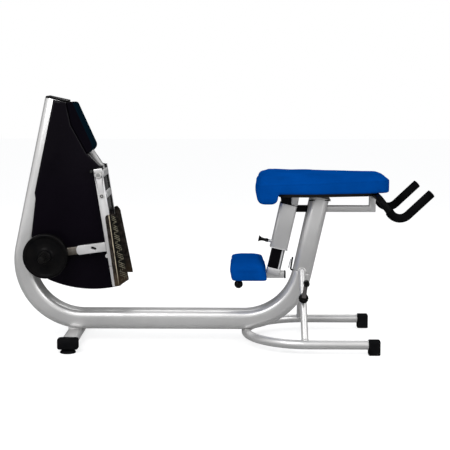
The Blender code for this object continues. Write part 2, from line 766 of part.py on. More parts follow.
def pivot_group():
    reach = BAR_INNER_Y - BUSH_FLANGE - GAP
    housing = cross_rod(PIVOT_X, PIVOT_Z, -reach, reach, HOUSING_RADIUS)
    corners = ((-1, 0), (1, 0), (1, -GUIDE_BELOW), (-1, -GUIDE_BELOW))
    web = [xz(on_lever(ahead * GUIDE_WEB / 2, up)) for ahead, up in corners]
    boolean(housing, flat(web, 0, GUIDE_WEB_WIDTH), "UNION")
    boolean(housing, guide_tube(), "UNION")
    bore = cross_rod(PIVOT_X, PIVOT_Z, -BAR_INNER_Y, BAR_INNER_Y, AXLE_RADIUS + GAP)
    part(cut(housing, bore), "pivot_housing", SILVER)
    seat = BAR_OUTER_Y + BUSH_FLANGE
    profile = [
        (0, seat + NUT_HEIGHT),
        (NUT_RADIUS - 0.002, seat + NUT_HEIGHT),
        (NUT_RADIUS, seat + NUT_HEIGHT - 0.002),
        (NUT_RADIUS, seat),
        (AXLE_RADIUS, seat),
        (AXLE_RADIUS, -AXLE_END),
        (0, -AXLE_END),
    ]
    part(turned(profile, PIVOT, (0, 1, 0)), "pivot_axle", STEEL)
    profile = [
        (NUT_RADIUS - 0.002, NUT_HEIGHT),
        (NUT_RADIUS, NUT_HEIGHT - 0.002),
        (NUT_RADIUS, 0),
        (AXLE_RADIUS + GAP, 0),
        (AXLE_RADIUS + GAP, NUT_HEIGHT),
    ]
    nut = turned(profile, (PIVOT_X, -seat, PIVOT_Z), (0, -1, 0), ring=True)
    part(nut, "axle_nut", STEEL)
    for name, side in (("right", -1), ("left", 1)):
        out = (0, side, 0)
        inner = BAR_INNER_Y - BUSH_FLANGE - GAP / 2
        bore_radius = AXLE_RADIUS + GAP
        length = BAR_OUTER_Y - inner
        profile = [
            (BUSH_RADIUS, length),
            (BUSH_RADIUS, BUSH_FLANGE),
            (BUSH_FLANGE_RADIUS, BUSH_FLANGE),
            (BUSH_FLANGE_RADIUS, 0),
            (bore_radius, 0),
            (bore_radius, length),
        ]
        bush = turned(profile, (PIVOT_X, side * inner, PIVOT_Z), out, ring=True)
        part(bush, "pivot_bush_" + name, BRONZE)
    reach = BAR_OUTER_Y + 0.003
    part(cross_rod(STOP.x, STOP.z, -reach, reach, STOP_BAR_RADIUS), "stop_bar", STEEL)
    for name, side in (("right", -1), ("left", 1)):
        profile = [
            (STOP_SLEEVE_RADIUS, BAR_THICKNESS),
            (STOP_SLEEVE_RADIUS, 0),
            (STOP_BAR_RADIUS + GAP, 0),
            (STOP_BAR_RADIUS + GAP, BAR_THICKNESS),
        ]
        base = (STOP.x, side * BAR_INNER_Y, STOP.z)
        sleeve = turned(profile, base, (0, side, 0), ring=True)
        part(sleeve, "stop_sleeve_" + name, BLACK_RUBBER)


def square_to(way):
    """The direction square to a way in the XZ plane, ahead and up of one that runs ahead and down."""
    run = way.normalized()
    return Vector((-run.z, 0, run.x))


def arm_solid(clear, half_width):
    """The pivot arm's outline: from the tower's face down to the pivot housing and the stop bar."""
    half = ARM_DEPTH / 2 + clear
    shoulder = beside_tower(TOWER_TOP_Z - ARM_SHOULDER_DOWN, ARM_SHOULDER_ACROSS)
    elbow = from_pivot(ARM_ELBOW_BEHIND, ARM_ELBOW_ABOVE)
    foot = from_pivot(ARM_FOOT_BEHIND, ARM_FOOT_ABOVE)
    side = square_to(elbow - shoulder)
    lower_side = square_to(foot - elbow)
    start = on_tower(TOWER_TOP_Z - ARM_START_DOWN, TUBE_DEPTH / 2 - ARM_DEPTH / 2)
    spread = Vector((0, 0, half * 1.3))
    outline = [
        xz(start + spread),
        xz(shoulder + side * half),
        xz(elbow + (side + lower_side).normalized() * half),
        xz(foot + lower_side * half),
        xz(PIVOT + Vector((clear + ARM_DEPTH * 0.6, 0, 0))),
        xz(PIVOT + Vector((-ARM_DEPTH * 0.6, 0, -ARM_DEPTH * 0.8 - clear))),
        xz(STOP + Vector((-ARM_DEPTH / 2 - clear, 0, -ARM_DEPTH * 0.8 - clear))),
        xz(STOP + Vector((-ARM_DEPTH * 0.7 - clear, 0, HOUSING_RADIUS))),
        xz(elbow - (side + lower_side).normalized() * half),
        xz(shoulder - side * half),
        xz(start - spread),
    ]
    return flat(outline, 0, 2 * half_width)


def pivot_arm():
    housing = cross_rod(PIVOT_X, PIVOT_Z, -0.1, 0.1, HOUSING_RADIUS + GAP)
    hole = cross_rod(STOP.x, STOP.z, -0.1, 0.1, STOP_BAR_RADIUS + GAP)
    arm = arm_solid(0, ARM_WIDTH / 2)
    part(cut(arm, frame_envelope(GAP), housing, hole), "pivot_arm", SILVER)


def bar_front_x(z):
    """Where the bar's front face is at height z."""
    return PIVOT_X + (PIVOT_Z - z) * tan(LEVER_LEAN) + BAR_DEPTH / 2 / cos(LEVER_LEAN)


CASING_BROW = beside_tower(TOWER_TOP_Z - CASING_BROW_DOWN, CASING_BROW_ACROSS)
CASING_CHIN = from_pivot(CASING_CHIN_BEHIND, CASING_CHIN_ABOVE)
CASING_TOP = on_tower(TOWER_TOP_Z, CASING_TOP_AHEAD) - UP * CASING_FIT


def casing_outline():
    back = [xz(on_tower(TOWER_TOP_Z) - UP * CASING_FIT)]
    for above, ahead in zip(CASING_EDGE_ABOVE[::-1], CASING_EDGE_AHEAD[::-1]):
        back.append(xz(on_tower(RUN_Z + above, ahead)))
    middle = beside_tower(RUN_Z + CASING_FLANK_ABOVE, CASING_FLANK_ACROSS)
    heel = beside_tower(RUN_Z + CASING_HEEL_ABOVE, CASING_HEEL_ACROSS)
    flank = arc_through(back[-1], xz(middle), xz(heel), 4)[1:]
    toe_z = RUN_Z + CASING_TOE_ABOVE
    toe = (bar_front_x(toe_z) - CASING_BEHIND_BAR, toe_z)
    belly = arc_through(xz(heel), (PIVOT_X - CASING_BELLY_BEHIND, RUN_Z + CASING_BELLY_ABOVE), toe, 8)[1:]
    step_z = PIVOT_Z + CASING_STEP_ABOVE
    throat = from_pivot(CASING_THROAT_BEHIND, CASING_THROAT_ABOVE)
    front = [(bar_front_x(step_z) - CASING_BEHIND_BAR, step_z)]
    front += [xz(point) for point in (throat, CASING_CHIN, CASING_BROW, CASING_TOP)]
    return back + flank + belly + front


def casing_half(side):
    """One moulded half: a side wall and a rim that meets the other half at the middle plane."""
    bm = bmesh.new()
    outline = casing_outline()
    wall_y = side * CASING_HALF_WIDTH
    verts = [bm.verts.new((x, wall_y, z)) for x, z in outline]
    face = bm.faces.new(verts)
    rim = list(face.edges)
    grown = bmesh.ops.extrude_edge_only(bm, edges=rim)["geom"]
    lip = [item for item in grown if isinstance(item, bmesh.types.BMVert)]
    bmesh.ops.translate(bm, vec=(0, side * GAP / 2 - wall_y, 0), verts=lip)
    bmesh.ops.bevel(
        bm, geom=rim, offset=CASING_RIM, segments=4, profile=0.5, affect="EDGES", material=-1
    )
    bmesh.ops.recalc_face_normals(bm, faces=bm.faces)
    outward = sum((f.normal.y * f.calc_area() for f in bm.faces), 0.0) * side
    if outward < 0:
        bmesh.ops.reverse_faces(bm, faces=bm.faces)
    return hollowed(mesh_object("casing", bm), CASING_WALL)


def casing():
    for name, side in (("casing_right", -1), ("casing_left", 1)):
        half = casing_half(side)
        housing = cross_rod(PIVOT_X, PIVOT_Z, -0.1, 0.1, HOUSING_RADIUS + CASING_FIT)
        guide = guide_tube(CASING_FIT, 0.01)
        hole = cross_rod(STOP.x, STOP.z, -0.12, 0.12, STOP_BAR_RADIUS + CASING_FIT)
        slot = arm_solid(CASING_FIT, ARM_WIDTH / 2 + CASING_FIT)
        part(cut(half, frame_envelope(CASING_FIT), housing, guide, hole, slot), name, BLACK_GLOSS)


def front_cover():
    """A moulded tray over the head of the pivot arm, open towards the casing's front edge."""
    top = beside_tower(TOWER_TOP_Z - COVER_TOP_DOWN, COVER_TOP_ACROSS)
    hip = from_pivot(COVER_HIP_BEHIND, COVER_HIP_ABOVE)
    toe = from_pivot(COVER_TOE_BEHIND, COVER_TOE_ABOVE)
    down = (hip - top).normalized()
    back = Vector((down.z, 0, -down.x))
    fit = Vector((CASING_FIT, 0, 0))
    jaw = toe + Vector((COVER_JAW_AHEAD, 0, COVER_JAW_ABOVE))
    outline = [
        CASING_TOP + fit * 2,
        top + back * COVER_EDGE,
        top + down * COVER_EDGE,
        hip,
        hip - Vector((0, 0, COVER_CHEEK_ABOVE)),
        jaw,
        toe,
        CASING_CHIN + fit + (CASING_BROW - CASING_CHIN) * 0.01,
        CASING_BROW + fit,
    ]
    shell = rounded(flat([xz(point) for point in outline], 0, 2 * COVER_HALF_WIDTH), COVER_EDGE, 2)
    inner_top = top + (back + down) * COVER_WALL
    inner_toe = toe + Vector((0, 0, COVER_JAW_ABOVE))
    depth = (CASING_TOP - top).length
    hollow = [
        inner_top,
        hip + back * COVER_WALL,
        jaw - Vector((COVER_WALL, 0, -COVER_WALL)),
        inner_toe,
        inner_toe + back * depth - down * depth,
        inner_top + back * depth,
    ]
    cavity = flat([xz(point) for point in hollow], 0, 2 * (COVER_HALF_WIDTH - COVER_WALL))
    slot = arm_solid(CASING_FIT, ARM_WIDTH / 2 + CASING_FIT)
    part(cut(shell, cavity, slot), "front_cover", COVER_BLUE_BLACK)


def plate_frame(side):
    """The foot plate's inner top corner, and its directions down, outwards and back."""
    down = Vector((sin(PLATE_LEAN), 0, -cos(PLATE_LEAN)))
    out = Vector((-sin(PLATE_TURN), side * cos(PLATE_TURN), 0))
    normal = down.cross(out).normalized() * side
    corner = on_lever(BAR_DEPTH / 2 + PLATE_AHEAD, -PLATE_TOP_BELOW, side * (BAR_INNER_Y + 0.002))
    return corner, down, out, -normal


def foot_plate(side):
    """Folded sheet: the tread face, a flange folded back outside, and a web back to the bar."""
    corner, down, out, back = plate_frame(side)
    bm = bmesh.new()
    top_in = corner
    top_out = corner + out * PLATE_TOP_WIDTH - down * 0.005
    low_in = corner + down * PLATE_HEIGHT
    low_out = low_in + out * PLATE_BOTTOM_WIDTH + down * 0.007

    def to_bar(point):
        return Vector((bar_front_x(point.z) + GAP, point.y, point.z))

    rows = []
    for inner, outer in ((top_in, top_out), (low_in, low_out)):
        rows.append([to_bar(inner), inner, outer, outer + back * PLATE_FLANGE])
    verts = [[bm.verts.new(point) for point in row] for row in rows]
    for index in range(3):
        bm.faces.new((verts[0][index], verts[0][index + 1], verts[1][index + 1], verts[1][index]))
    bmesh.ops.recalc_face_normals(bm, faces=bm.faces)
    bm.faces.ensure_lookup_table()
    if bm.faces[1].normal.dot(back) > 0:
        bmesh.ops.reverse_faces(bm, faces=bm.faces)
    return hollowed(mesh_object("sheet", bm), PLATE_THICKNESS)


def tread_mat(side):
    corner, down, out, back = plate_frame(side)
    margin = TREAD_MARGIN
    span = PLATE_HEIGHT - 2 * margin
    widen = (PLATE_BOTTOM_WIDTH - PLATE_TOP_WIDTH) / PLATE_HEIGHT
    first = corner + down * margin + out * margin
    wide_top = PLATE_TOP_WIDTH + widen * margin - 2 * margin
    wide_low = wide_top + widen * span
    outline = [
        first,
        first + out * wide_top,
        first + down * span + out * wide_low,
        first + down * span,
    ]
    bm = bmesh.new()
    verts = [bm.verts.new(point - back * GAP) for point in outline]
    face = bm.faces.new(verts)
    grown = bmesh.ops.extrude_face_region(bm, geom=[face])["geom"]
    lifted = [item for item in grown if isinstance(item, bmesh.types.BMVert)]
    bmesh.ops.translate(bm, vec=-back * TREAD_THICKNESS, verts=lifted)
    bmesh.ops.recalc_face_normals(bm, faces=bm.faces)
    return mesh_object("mat", bm)


def lever(side_name, side):
    pivot = bpy.data.objects.new(side_name + "_lever_axis", None)
    pivot.location = PIVOT
    PARTS.objects.link(pivot)
    middle_y = side * BAR_MIDDLE_Y
    out = (0, side, 0)

    def own(obj, name, finish):
        part(obj, side_name + "_" + name, finish, pivot)

    corners = ((-1, -BAR_BELOW), (1, -BAR_BELOW), (1, BAR_ABOVE), (-1, BAR_ABOVE))
    outline = [xz(on_lever(ahead * BAR_DEPTH / 2, up)) for ahead, up in corners]
    bar = rounded(flat(outline, middle_y, BAR_THICKNESS), BAR_EDGE, 3)
    bore_radius = (BUSH_RADIUS + RUNNING) / cos(pi / ROUND_SIDES)
    bore = cross_rod(PIVOT_X, PIVOT_Z, -0.15, 0.15, bore_radius)
    guide = on_lever(0, -GUIDE_BELOW)
    bolt_hole = cross_rod(guide.x, guide.z, -0.15, 0.15, GUIDE_BOLT_RADIUS + GAP)
    own(cut(bar, bore, bolt_hole), "lever_bar", SILVER)

    length = BAR_THICKNESS + GAP
    profile = [
        (0, length + GUIDE_HEAD),
        (GUIDE_HEAD_RADIUS - 0.002, length + GUIDE_HEAD),
        (GUIDE_HEAD_RADIUS, length + GUIDE_HEAD - 0.002),
        (GUIDE_HEAD_RADIUS, length),
        (GUIDE_BOLT_RADIUS, length),
        (GUIDE_BOLT_RADIUS, -GAP),
        (GUIDE_RADIUS, -GAP),
        (GUIDE_RADIUS, -GUIDE_THICKNESS),
        (0, -GUIDE_THICKNESS),
    ]
    own(turned(profile, (guide.x, side * BAR_INNER_Y, guide.z), out), "guide_bolt", NYLON)

    own(foot_plate(side), "foot_plate", PLATE_BROWN)
    own(tread_mat(side), "tread_mat", BLACK_RUBBER)

    near = on_lever(-BAR_DEPTH / 2 - GAP, -STRUT_BELOW)
    hub = on_lever(-DISC_BEHIND, -DISC_BELOW)
    along = (hub - near).normalized()
    across = Vector((-along.z, 0, along.x)) * STRUT_DEPTH / 2
    past = along * HORN_FLANGE_RADIUS
    lean = LEVER_UP * STRUT_DEPTH / 2
    outline = [xz(near - lean), xz(near + lean), xz(hub + past - across), xz(hub + past + across)]
    own(rounded(flat(outline, middle_y, BAR_THICKNESS), BAR_EDGE, 3), "weight_strut", SILVER)

    disc_y = HORN_FLANGE + GAP
    end = disc_y + DISC_THICKNESS + HORN_END
    profile = [
        (0, end),
        (HORN_RADIUS - 0.003, end),
        (HORN_RADIUS, end - 0.003),
        (HORN_RADIUS, HORN_FLANGE),
        (HORN_FLANGE_RADIUS - 0.002, HORN_FLANGE),
        (HORN_FLANGE_RADIUS, HORN_FLANGE - 0.002),
        (HORN_FLANGE_RADIUS, GAP),
        (0, GAP),
    ]
    base = (hub.x, side * BAR_OUTER_Y, hub.z)
    own(turned(profile, base, out), "weight_horn", IRON)

    far = disc_y + DISC_THICKNESS
    bore_radius = HORN_RADIUS + GAP
    rim = 0.016
    dish = 0.006
    profile = [
        (0.034, far),
        (0.038, far - dish),
        (DISC_RADIUS - rim, far - dish),
        (DISC_RADIUS - rim + 0.004, far),
        (DISC_RADIUS - 0.005, far),
        (DISC_RADIUS, far - 0.005),
        (DISC_RADIUS, disc_y + 0.005),
        (DISC_RADIUS - 0.005, disc_y),
        (bore_radius, disc_y),
        (bore_radius, far),
    ]
    own(turned(profile, base, out, ring=True, sides=DISC_SIDES), "weight_disc", IRON)

    start = far + GAP
    stop = start + COLLAR_LENGTH
    profile = [
        (COLLAR_RADIUS - 0.002, stop),
        (COLLAR_RADIUS, stop - 0.002),
        (COLLAR_RADIUS, start + 0.002),
        (COLLAR_RADIUS - 0.002, start),
        (bore_radius, start),
        (bore_radius, stop),
    ]
    own(turned(profile, base, out, ring=True), "weight_collar", IRON)


def bench():
    rail_top = BOARD_BOTTOM_Z - RAIL_BELOW_BOARD
    rail_z = rail_top - RAIL_HEIGHT / 2
    buried_x = on_upright(rail_z).x
    strip_end = HANDLE_X - HANDLE_RADIUS - 0.002
    strip_top = BOARD_BOTTOM_Z - GAP
    outline = [
        (buried_x, rail_top - RAIL_HEIGHT),
        (RAIL_END_X, rail_top - RAIL_HEIGHT),
        (RAIL_END_X, HANDLE_Z - HANDLE_RADIUS / 2),
        (strip_end, HANDLE_Z - HANDLE_RADIUS / 2),
        (strip_end, strip_top),
        (STRIP_START_X, strip_top),
        (STRIP_START_X, strip_top - STRIP_THICKNESS),
        (RAIL_END_X - POST_DEPTH, strip_top - STRIP_THICKNESS),
        (RAIL_END_X - POST_DEPTH, rail_top),
        (buried_x, rail_top),
    ]
    saddle = cross_rod(HANDLE_X, HANDLE_Z, -0.1, 0.1, HANDLE_RADIUS + GAP)
    rail = flat(outline, 0, RAIL_WIDTH)
    part(cut(rail, frame_envelope(GAP), saddle), "bench_rail", SILVER)

    board_outline = pad_plan(BOARD_INSET, PAD_ROLL_END_X + BOARD_FIT, strip_end)
    board = flat(board_outline, BOARD_BOTTOM_Z + BOARD_THICKNESS / 2, BOARD_THICKNESS, "XY")
    part(board, "pad_board", BOARD_BLACK)


def pad_plan(inset, start_x, end_x, corner=0.030):
    """The bench pad's plan, drawn in by inset at the sides and cut at the X values given."""
    taper = (PAD_HALF_WIDTH - PAD_HEAD_HALF_WIDTH) / (PAD_END_X - PAD_TAPER_X)
    wide = PAD_HALF_WIDTH - inset
    head = wide - taper * (end_x - PAD_TAPER_X)
    half = [(start_x, wide), (PAD_TAPER_X, wide), (end_x, head)]
    outline = half + [(x, -y) for x, y in reversed(half)]
    return rounded_corners(outline, [corner, 0.10, corner, corner, 0.10, corner])


def torso_pad():
    bottom = BOARD_BOTTOM_Z + BOARD_THICKNESS + GAP
    side_view = [
        (PAD_START_X + 0.020, PAD_ROLL_Z),
        (PAD_ROLL_END_X - 0.018, PAD_ROLL_Z),
        (PAD_ROLL_END_X, PAD_ROLL_Z + 0.020),
        (PAD_ROLL_END_X, bottom),
        (PAD_END_X, bottom),
        (PAD_END_X, PAD_SEAM_Z),
        (PAD_END_X - 0.022, PAD_CROWN_Z - 0.010),
        (PAD_TAPER_X + 0.03, PAD_CROWN_Z),
        (PAD_START_X + 0.045, PAD_CROWN_Z),
        (PAD_START_X + 0.010, PAD_CROWN_Z - 0.018),
        (PAD_START_X, PAD_SEAM_Z - 0.008),
        (PAD_START_X, PAD_ROLL_Z + 0.025),
    ]
    pad = flat(side_view, 0, 2.2 * PAD_HALF_WIDTH)
    plan = flat(pad_plan(0, PAD_START_X, PAD_END_X, 0.035), bottom, 0.3, "XY")
    half = PAD_HALF_WIDTH
    end_view = [
        (-half + 0.006, PAD_ROLL_Z - 0.01),
        (half - 0.006, PAD_ROLL_Z - 0.01),
        (half, bottom + 0.006),
        (half, PAD_SEAM_Z),
        (half - 0.018, PAD_CROWN_Z - 0.018),
        (half - 0.070, PAD_CROWN_Z + 0.001),
        (-half + 0.070, PAD_CROWN_Z + 0.001),
        (-half + 0.018, PAD_CROWN_Z - 0.018),
        (-half, PAD_SEAM_Z),
        (-half, bottom + 0.006),
    ]
    middle_x = (PAD_START_X + PAD_END_X) / 2
    ends = flat(end_view, middle_x, PAD_END_X - PAD_START_X + 0.1, "YZ")
    boolean(pad, plan, "INTERSECT")
    boolean(pad, ends, "INTERSECT")
    part(pad, "torso_pad", BLUE_VINYL)


def handle_path():
    """One continuous bar: tip, hook, crossbar under the pad, hook, tip."""
    half = [
        Vector((HANDLE_TIP_X, HANDLE_Y, HANDLE_TIP_Z)),
        Vector((HANDLE_LOW_X, HANDLE_Y, HANDLE_LOW_Z)),
        Vector((HANDLE_X, HANDLE_Y, HANDLE_Z)),
    ]
    return half, [Vector((p.x, -p.y, p.z)) for p in reversed(half)]


def handlebar():
    left, right = handle_path()
    path = path_with_bends(left + right, HANDLE_BEND, radians(12))
    part(round_tube(path, HANDLE_RADIUS), "handlebar", BLACK_PAINT)
    for name, (tip, low, corner) in (("grip_left", left), ("grip_right", right[::-1])):
        start = low + (corner - low) * 0.52
        hook = path_with_bends([tip, low, start], HANDLE_BEND, radians(12))
        out = (tip - low).normalized()
        hook[0] = tip + out * GAP
        grip = round_tube(hook, GRIP_RADIUS, GRIP_RADIUS - HANDLE_RADIUS - GAP)
        part(grip, name, BLACK_RUBBER)


# Knee rest: it slides along the leaning sleeve
def on_sleeve(z, ahead=0.0):
    """The point at height z on the sleeve's centreline."""
    return on_upright(z, 0) + Vector((SLEEVE_AHEAD / cos(LEAN), 0, 0)) + AHEAD * ahead


def knee_sleeve():
    ends = [xz(on_sleeve(SLEEVE_BOTTOM_Z)), xz(on_sleeve(SLEEVE_TOP_Z))]
    sleeve = box_tube(ends, SLEEVE_DEPTH, SLEEVE_DEPTH, SLEEVE_CORNER, SLEEVE_WALL)
    pin = on_sleeve(PIN_Z)
    hole = rod(pin, pin - AHEAD * 0.08, PIN_RADIUS + GAP)
    liner_size = SLEEVE_DEPTH - 2 * SLEEVE_WALL - 2 * GAP
    liner_wall = (liner_size - KNEE_POST_DEPTH) / 2 - GAP
    liner = box_tube(ends, liner_size, liner_size, SLEEVE_CORNER - SLEEVE_WALL, liner_wall)
    part(cut(liner, hole), "sleeve_liner", NYLON)

    top = on_sleeve(SLEEVE_TOP_Z)
    half = SLEEVE_DEPTH / 2 - SLEEVE_WALL
    outline = [
        xz(top - AHEAD * half + UP * GAP),
        xz(top + AHEAD * half + UP * GAP),
        xz(top + AHEAD * half + UP * TOP_BLOCK_LIP),
        (TOP_BLOCK_X + TOP_BLOCK_DEPTH / 2, top.z + 2 * TOP_BLOCK_LIP),
        (TOP_BLOCK_X + TOP_BLOCK_DEPTH / 2, BOARD_BOTTOM_Z - GAP),
        (TOP_BLOCK_X - TOP_BLOCK_DEPTH / 2, BOARD_BOTTOM_Z - GAP),
        xz(top - AHEAD * half + UP * TOP_BLOCK_LIP),
    ]
    part(flat(outline, 0, SLEEVE_DEPTH - 0.01), "sleeve_top_block", NYLON)

    buried = TUBE_DEPTH / 2 - TUBE_WALL
    outline = [
        (on_sleeve(LINK_BOTTOM_Z).x, LINK_BOTTOM_Z),
        (on_upright(LINK_BOTTOM_Z, -buried).x, LINK_BOTTOM_Z),
        (on_upright(LINK_TOP_Z, -buried).x, LINK_TOP_Z),
        (on_sleeve(LINK_TOP_Z).x, LINK_TOP_Z),
    ]
    size = SLEEVE_DEPTH - SLEEVE_WALL
    envelope = [xz(on_sleeve(SLEEVE_BOTTOM_Z)), xz(on_sleeve(SLEEVE_TOP_Z + 0.08))]
    bore = box_tube(envelope, size, size, SLEEVE_CORNER)
    link = flat(outline, 0, LINK_WIDTH)
    boolean(sleeve, cut(link, bore, frame_envelope(GAP)), "UNION")
    profile = [
        (0, PIN_COLLAR),
        (PIN_COLLAR_RADIUS, PIN_COLLAR),
        (PIN_COLLAR_RADIUS, PIN_FLANGE),
        (PIN_FLANGE_RADIUS, PIN_FLANGE),
        (PIN_FLANGE_RADIUS, -SLEEVE_WALL / 2),
        (0, -SLEEVE_WALL / 2),
    ]
    boolean(sleeve, turned(profile, pin - AHEAD * SLEEVE_DEPTH / 2, -AHEAD), "UNION")
    part(cut(sleeve, hole), "knee_sleeve", SILVER)


def knee_rest():
    axis = bpy.data.objects.new("knee_slide_axis", None)
    axis.location = on_sleeve(KNEE_ARM_TOP_Z)
    PARTS.objects.link(axis)
    ends = [xz(on_sleeve(KNEE_STUB_TOP_Z) + UP * GAP), xz(on_sleeve(KNEE_POST_TOP_Z))]
    post = box_tube(ends, KNEE_POST_DEPTH, KNEE_POST_DEPTH, KNEE_POST_CORNER, KNEE_POST_WALL)
    holes = []
    for step in range(int(KNEE_TRAVEL / PIN_PITCH + 0.5) + 1):
        place = on_sleeve(PIN_Z) + UP * PIN_PITCH * step
        holes.append(rod(place, place - AHEAD * 0.05, PIN_RADIUS + GAP, HOLE_SIDES))
    for step in range(1, 4):
        place = on_sleeve(PIN_Z) - UP * PIN_PITCH * step
        holes.append(rod(place, place - AHEAD * 0.05, PIN_RADIUS + GAP, HOLE_SIDES))
    part(cut(post, *holes), "knee_post", CHROME, axis)

    low = KNEE_ARM_TOP_Z - KNEE_ARM_HEIGHT
    half = KNEE_ARM_WIDTH / 2
    arm = block((KNEE_ARM_START_X, -half, low), (KNEE_ARM_END_X, half, KNEE_ARM_TOP_Z), 0.003, 2)
    plate_low = KNEE_ARM_TOP_Z - 0.002
    plate_top = KNEE_ARM_TOP_Z + KNEE_PLATE_THICKNESS
    plate = block(
        (KNEE_ARM_START_X - 0.004, -KNEE_PLATE_WIDTH / 2, plate_low),
        (KNEE_PAD_END_X - 0.014, KNEE_PLATE_WIDTH / 2, plate_top),
    )
    stem_ends = (KNOB_X, 0, low - 0.02), (KNOB_X, 0, plate_top + 0.02)
    stem_hole = rod(*stem_ends, KNOB_STEM_RADIUS + GAP, HOLE_SIDES)
    stub_size = KNEE_POST_DEPTH + 2 * KNEE_STUB_LIP
    stub_path = [xz(on_sleeve(KNEE_ARM_TOP_Z - KNEE_ARM_HEIGHT / 3)), xz(on_sleeve(KNEE_STUB_TOP_Z))]
    stub = box_tube(stub_path, stub_size, stub_size, KNEE_POST_CORNER)
    boolean(arm, plate, "UNION")
    boolean(arm, stub, "UNION")
    part(cut(arm, stem_hole), "knee_arm", SILVER, axis)
    cap = block(
        (KNEE_ARM_END_X + GAP, -half - 0.001, low - 0.001),
        (KNEE_ARM_END_X + KNEE_CAP_LENGTH, half + 0.001, KNEE_ARM_TOP_Z + 0.001),
        0.002,
        2,
    )
    part(cap, "knee_arm_cap", NYLON, axis)

    x0, x1 = KNEE_PAD_START_X, KNEE_PAD_END_X
    bottom = KNEE_PAD_BOTTOM_Z
    side_view = [
        (x0 + 0.008, bottom),
        (x1 - 0.008, bottom),
        (x1, bottom + 0.008),
        (x1, KNEE_PAD_SEAM_Z),
        (x1 - 0.010, KNEE_PAD_SEAM_Z + 0.022),
        (x1 - 0.035, KNEE_PAD_TOP_Z),
        (x0 + 0.035, KNEE_PAD_TOP_Z),
        (x0 + 0.010, KNEE_PAD_SEAM_Z + 0.022),
        (x0, KNEE_PAD_SEAM_Z),
        (x0, bottom + 0.008),
    ]
    half = KNEE_PAD_HALF_WIDTH
    pad = flat(side_view, 0, 2 * half)
    end_view = [
        (-half + 0.006, bottom - 0.01),
        (half - 0.006, bottom - 0.01),
        (half, bottom + 0.010),
        (half, KNEE_PAD_SEAM_Z),
        (half - 0.020, KNEE_PAD_TOP_Z - 0.016),
        (half - 0.060, KNEE_PAD_TOP_Z + 0.001),
        (-half + 0.060, KNEE_PAD_TOP_Z + 0.001),
        (-half + 0.020, KNEE_PAD_TOP_Z - 0.016),
        (-half, KNEE_PAD_SEAM_Z),
        (-half, bottom + 0.010),
    ]
    ends = flat(end_view, (x0 + x1) / 2, x1 - x0 + 0.1, "YZ")
    corners = [(x0, half), (x1, half), (x1, -half), (x0, -half)]
    plan = flat(rounded_corners(corners, 0.030), (bottom + KNEE_PAD_TOP_Z) / 2, 0.3, "XY")
    boolean(pad, ends, "INTERSECT")
    boolean(pad, plan, "INTERSECT")
    channel = block((x0 + 0.010, -0.022, bottom - 0.02), (x1 + 0.05, 0.022, KNEE_ARM_TOP_Z + 0.001))
    recess = block(
        (x0 + 0.010, -KNEE_PLATE_WIDTH / 2 - 0.001, bottom - 0.02),
        (x1 - 0.010, KNEE_PLATE_WIDTH / 2 + 0.001, plate_top + GAP),
    )
    part(cut(pad, channel, recess), "knee_pad", BLUE_VINYL, axis)

    top = plate_top - GAP
    centre = low - KNOB_STEM - KNOB_RADIUS
    ball = [
        (KNOB_RADIUS * cos(radians(angle)), centre + KNOB_RADIUS * sin(radians(angle)))
        for angle in range(60, -91, -15)
    ]
    ball[-1] = (0, centre - KNOB_RADIUS)
    profile = [(0, top), (KNOB_STEM_RADIUS, top), (KNOB_STEM_RADIUS, ball[0][1]), *ball]
    part(turned(profile, (KNOB_X, 0, 0), (0, 0, 1)), "knee_knob", BLACK_GLOSS, axis)


def pull_pin():
    face = on_sleeve(PIN_Z, -SLEEVE_DEPTH / 2)
    out = -AHEAD
    tip = -(SLEEVE_DEPTH - KNEE_POST_DEPTH) / 2 + 0.001
    mouth = PIN_COLLAR + GAP
    far = mouth + PIN_KNOB
    bore_radius = PIN_COLLAR_RADIUS + GAP
    bore_end = mouth + PIN_PULL + 0.001
    profile = [
        (0, far),
        (PIN_KNOB_RADIUS - 0.001, far),
        (PIN_KNOB_RADIUS, far - 0.001),
        (PIN_KNOB_RADIUS - 0.004, far - 0.007),
        (PIN_MOUTH_RADIUS - 0.0012, far - 0.016),
        (PIN_MOUTH_RADIUS - 0.0014, bore_end + 0.008),
        (PIN_MOUTH_RADIUS, bore_end + 0.001),
        (PIN_MOUTH_RADIUS, mouth),
        (bore_radius, mouth),
        (bore_radius, bore_end),
        (PIN_RADIUS, bore_end),
        (PIN_RADIUS, tip + 0.001),
        (PIN_RADIUS - 0.001, tip),
        (0, tip),
    ]
    part(turned(profile, face, out), "pull_pin", BLACK_GLOSS)


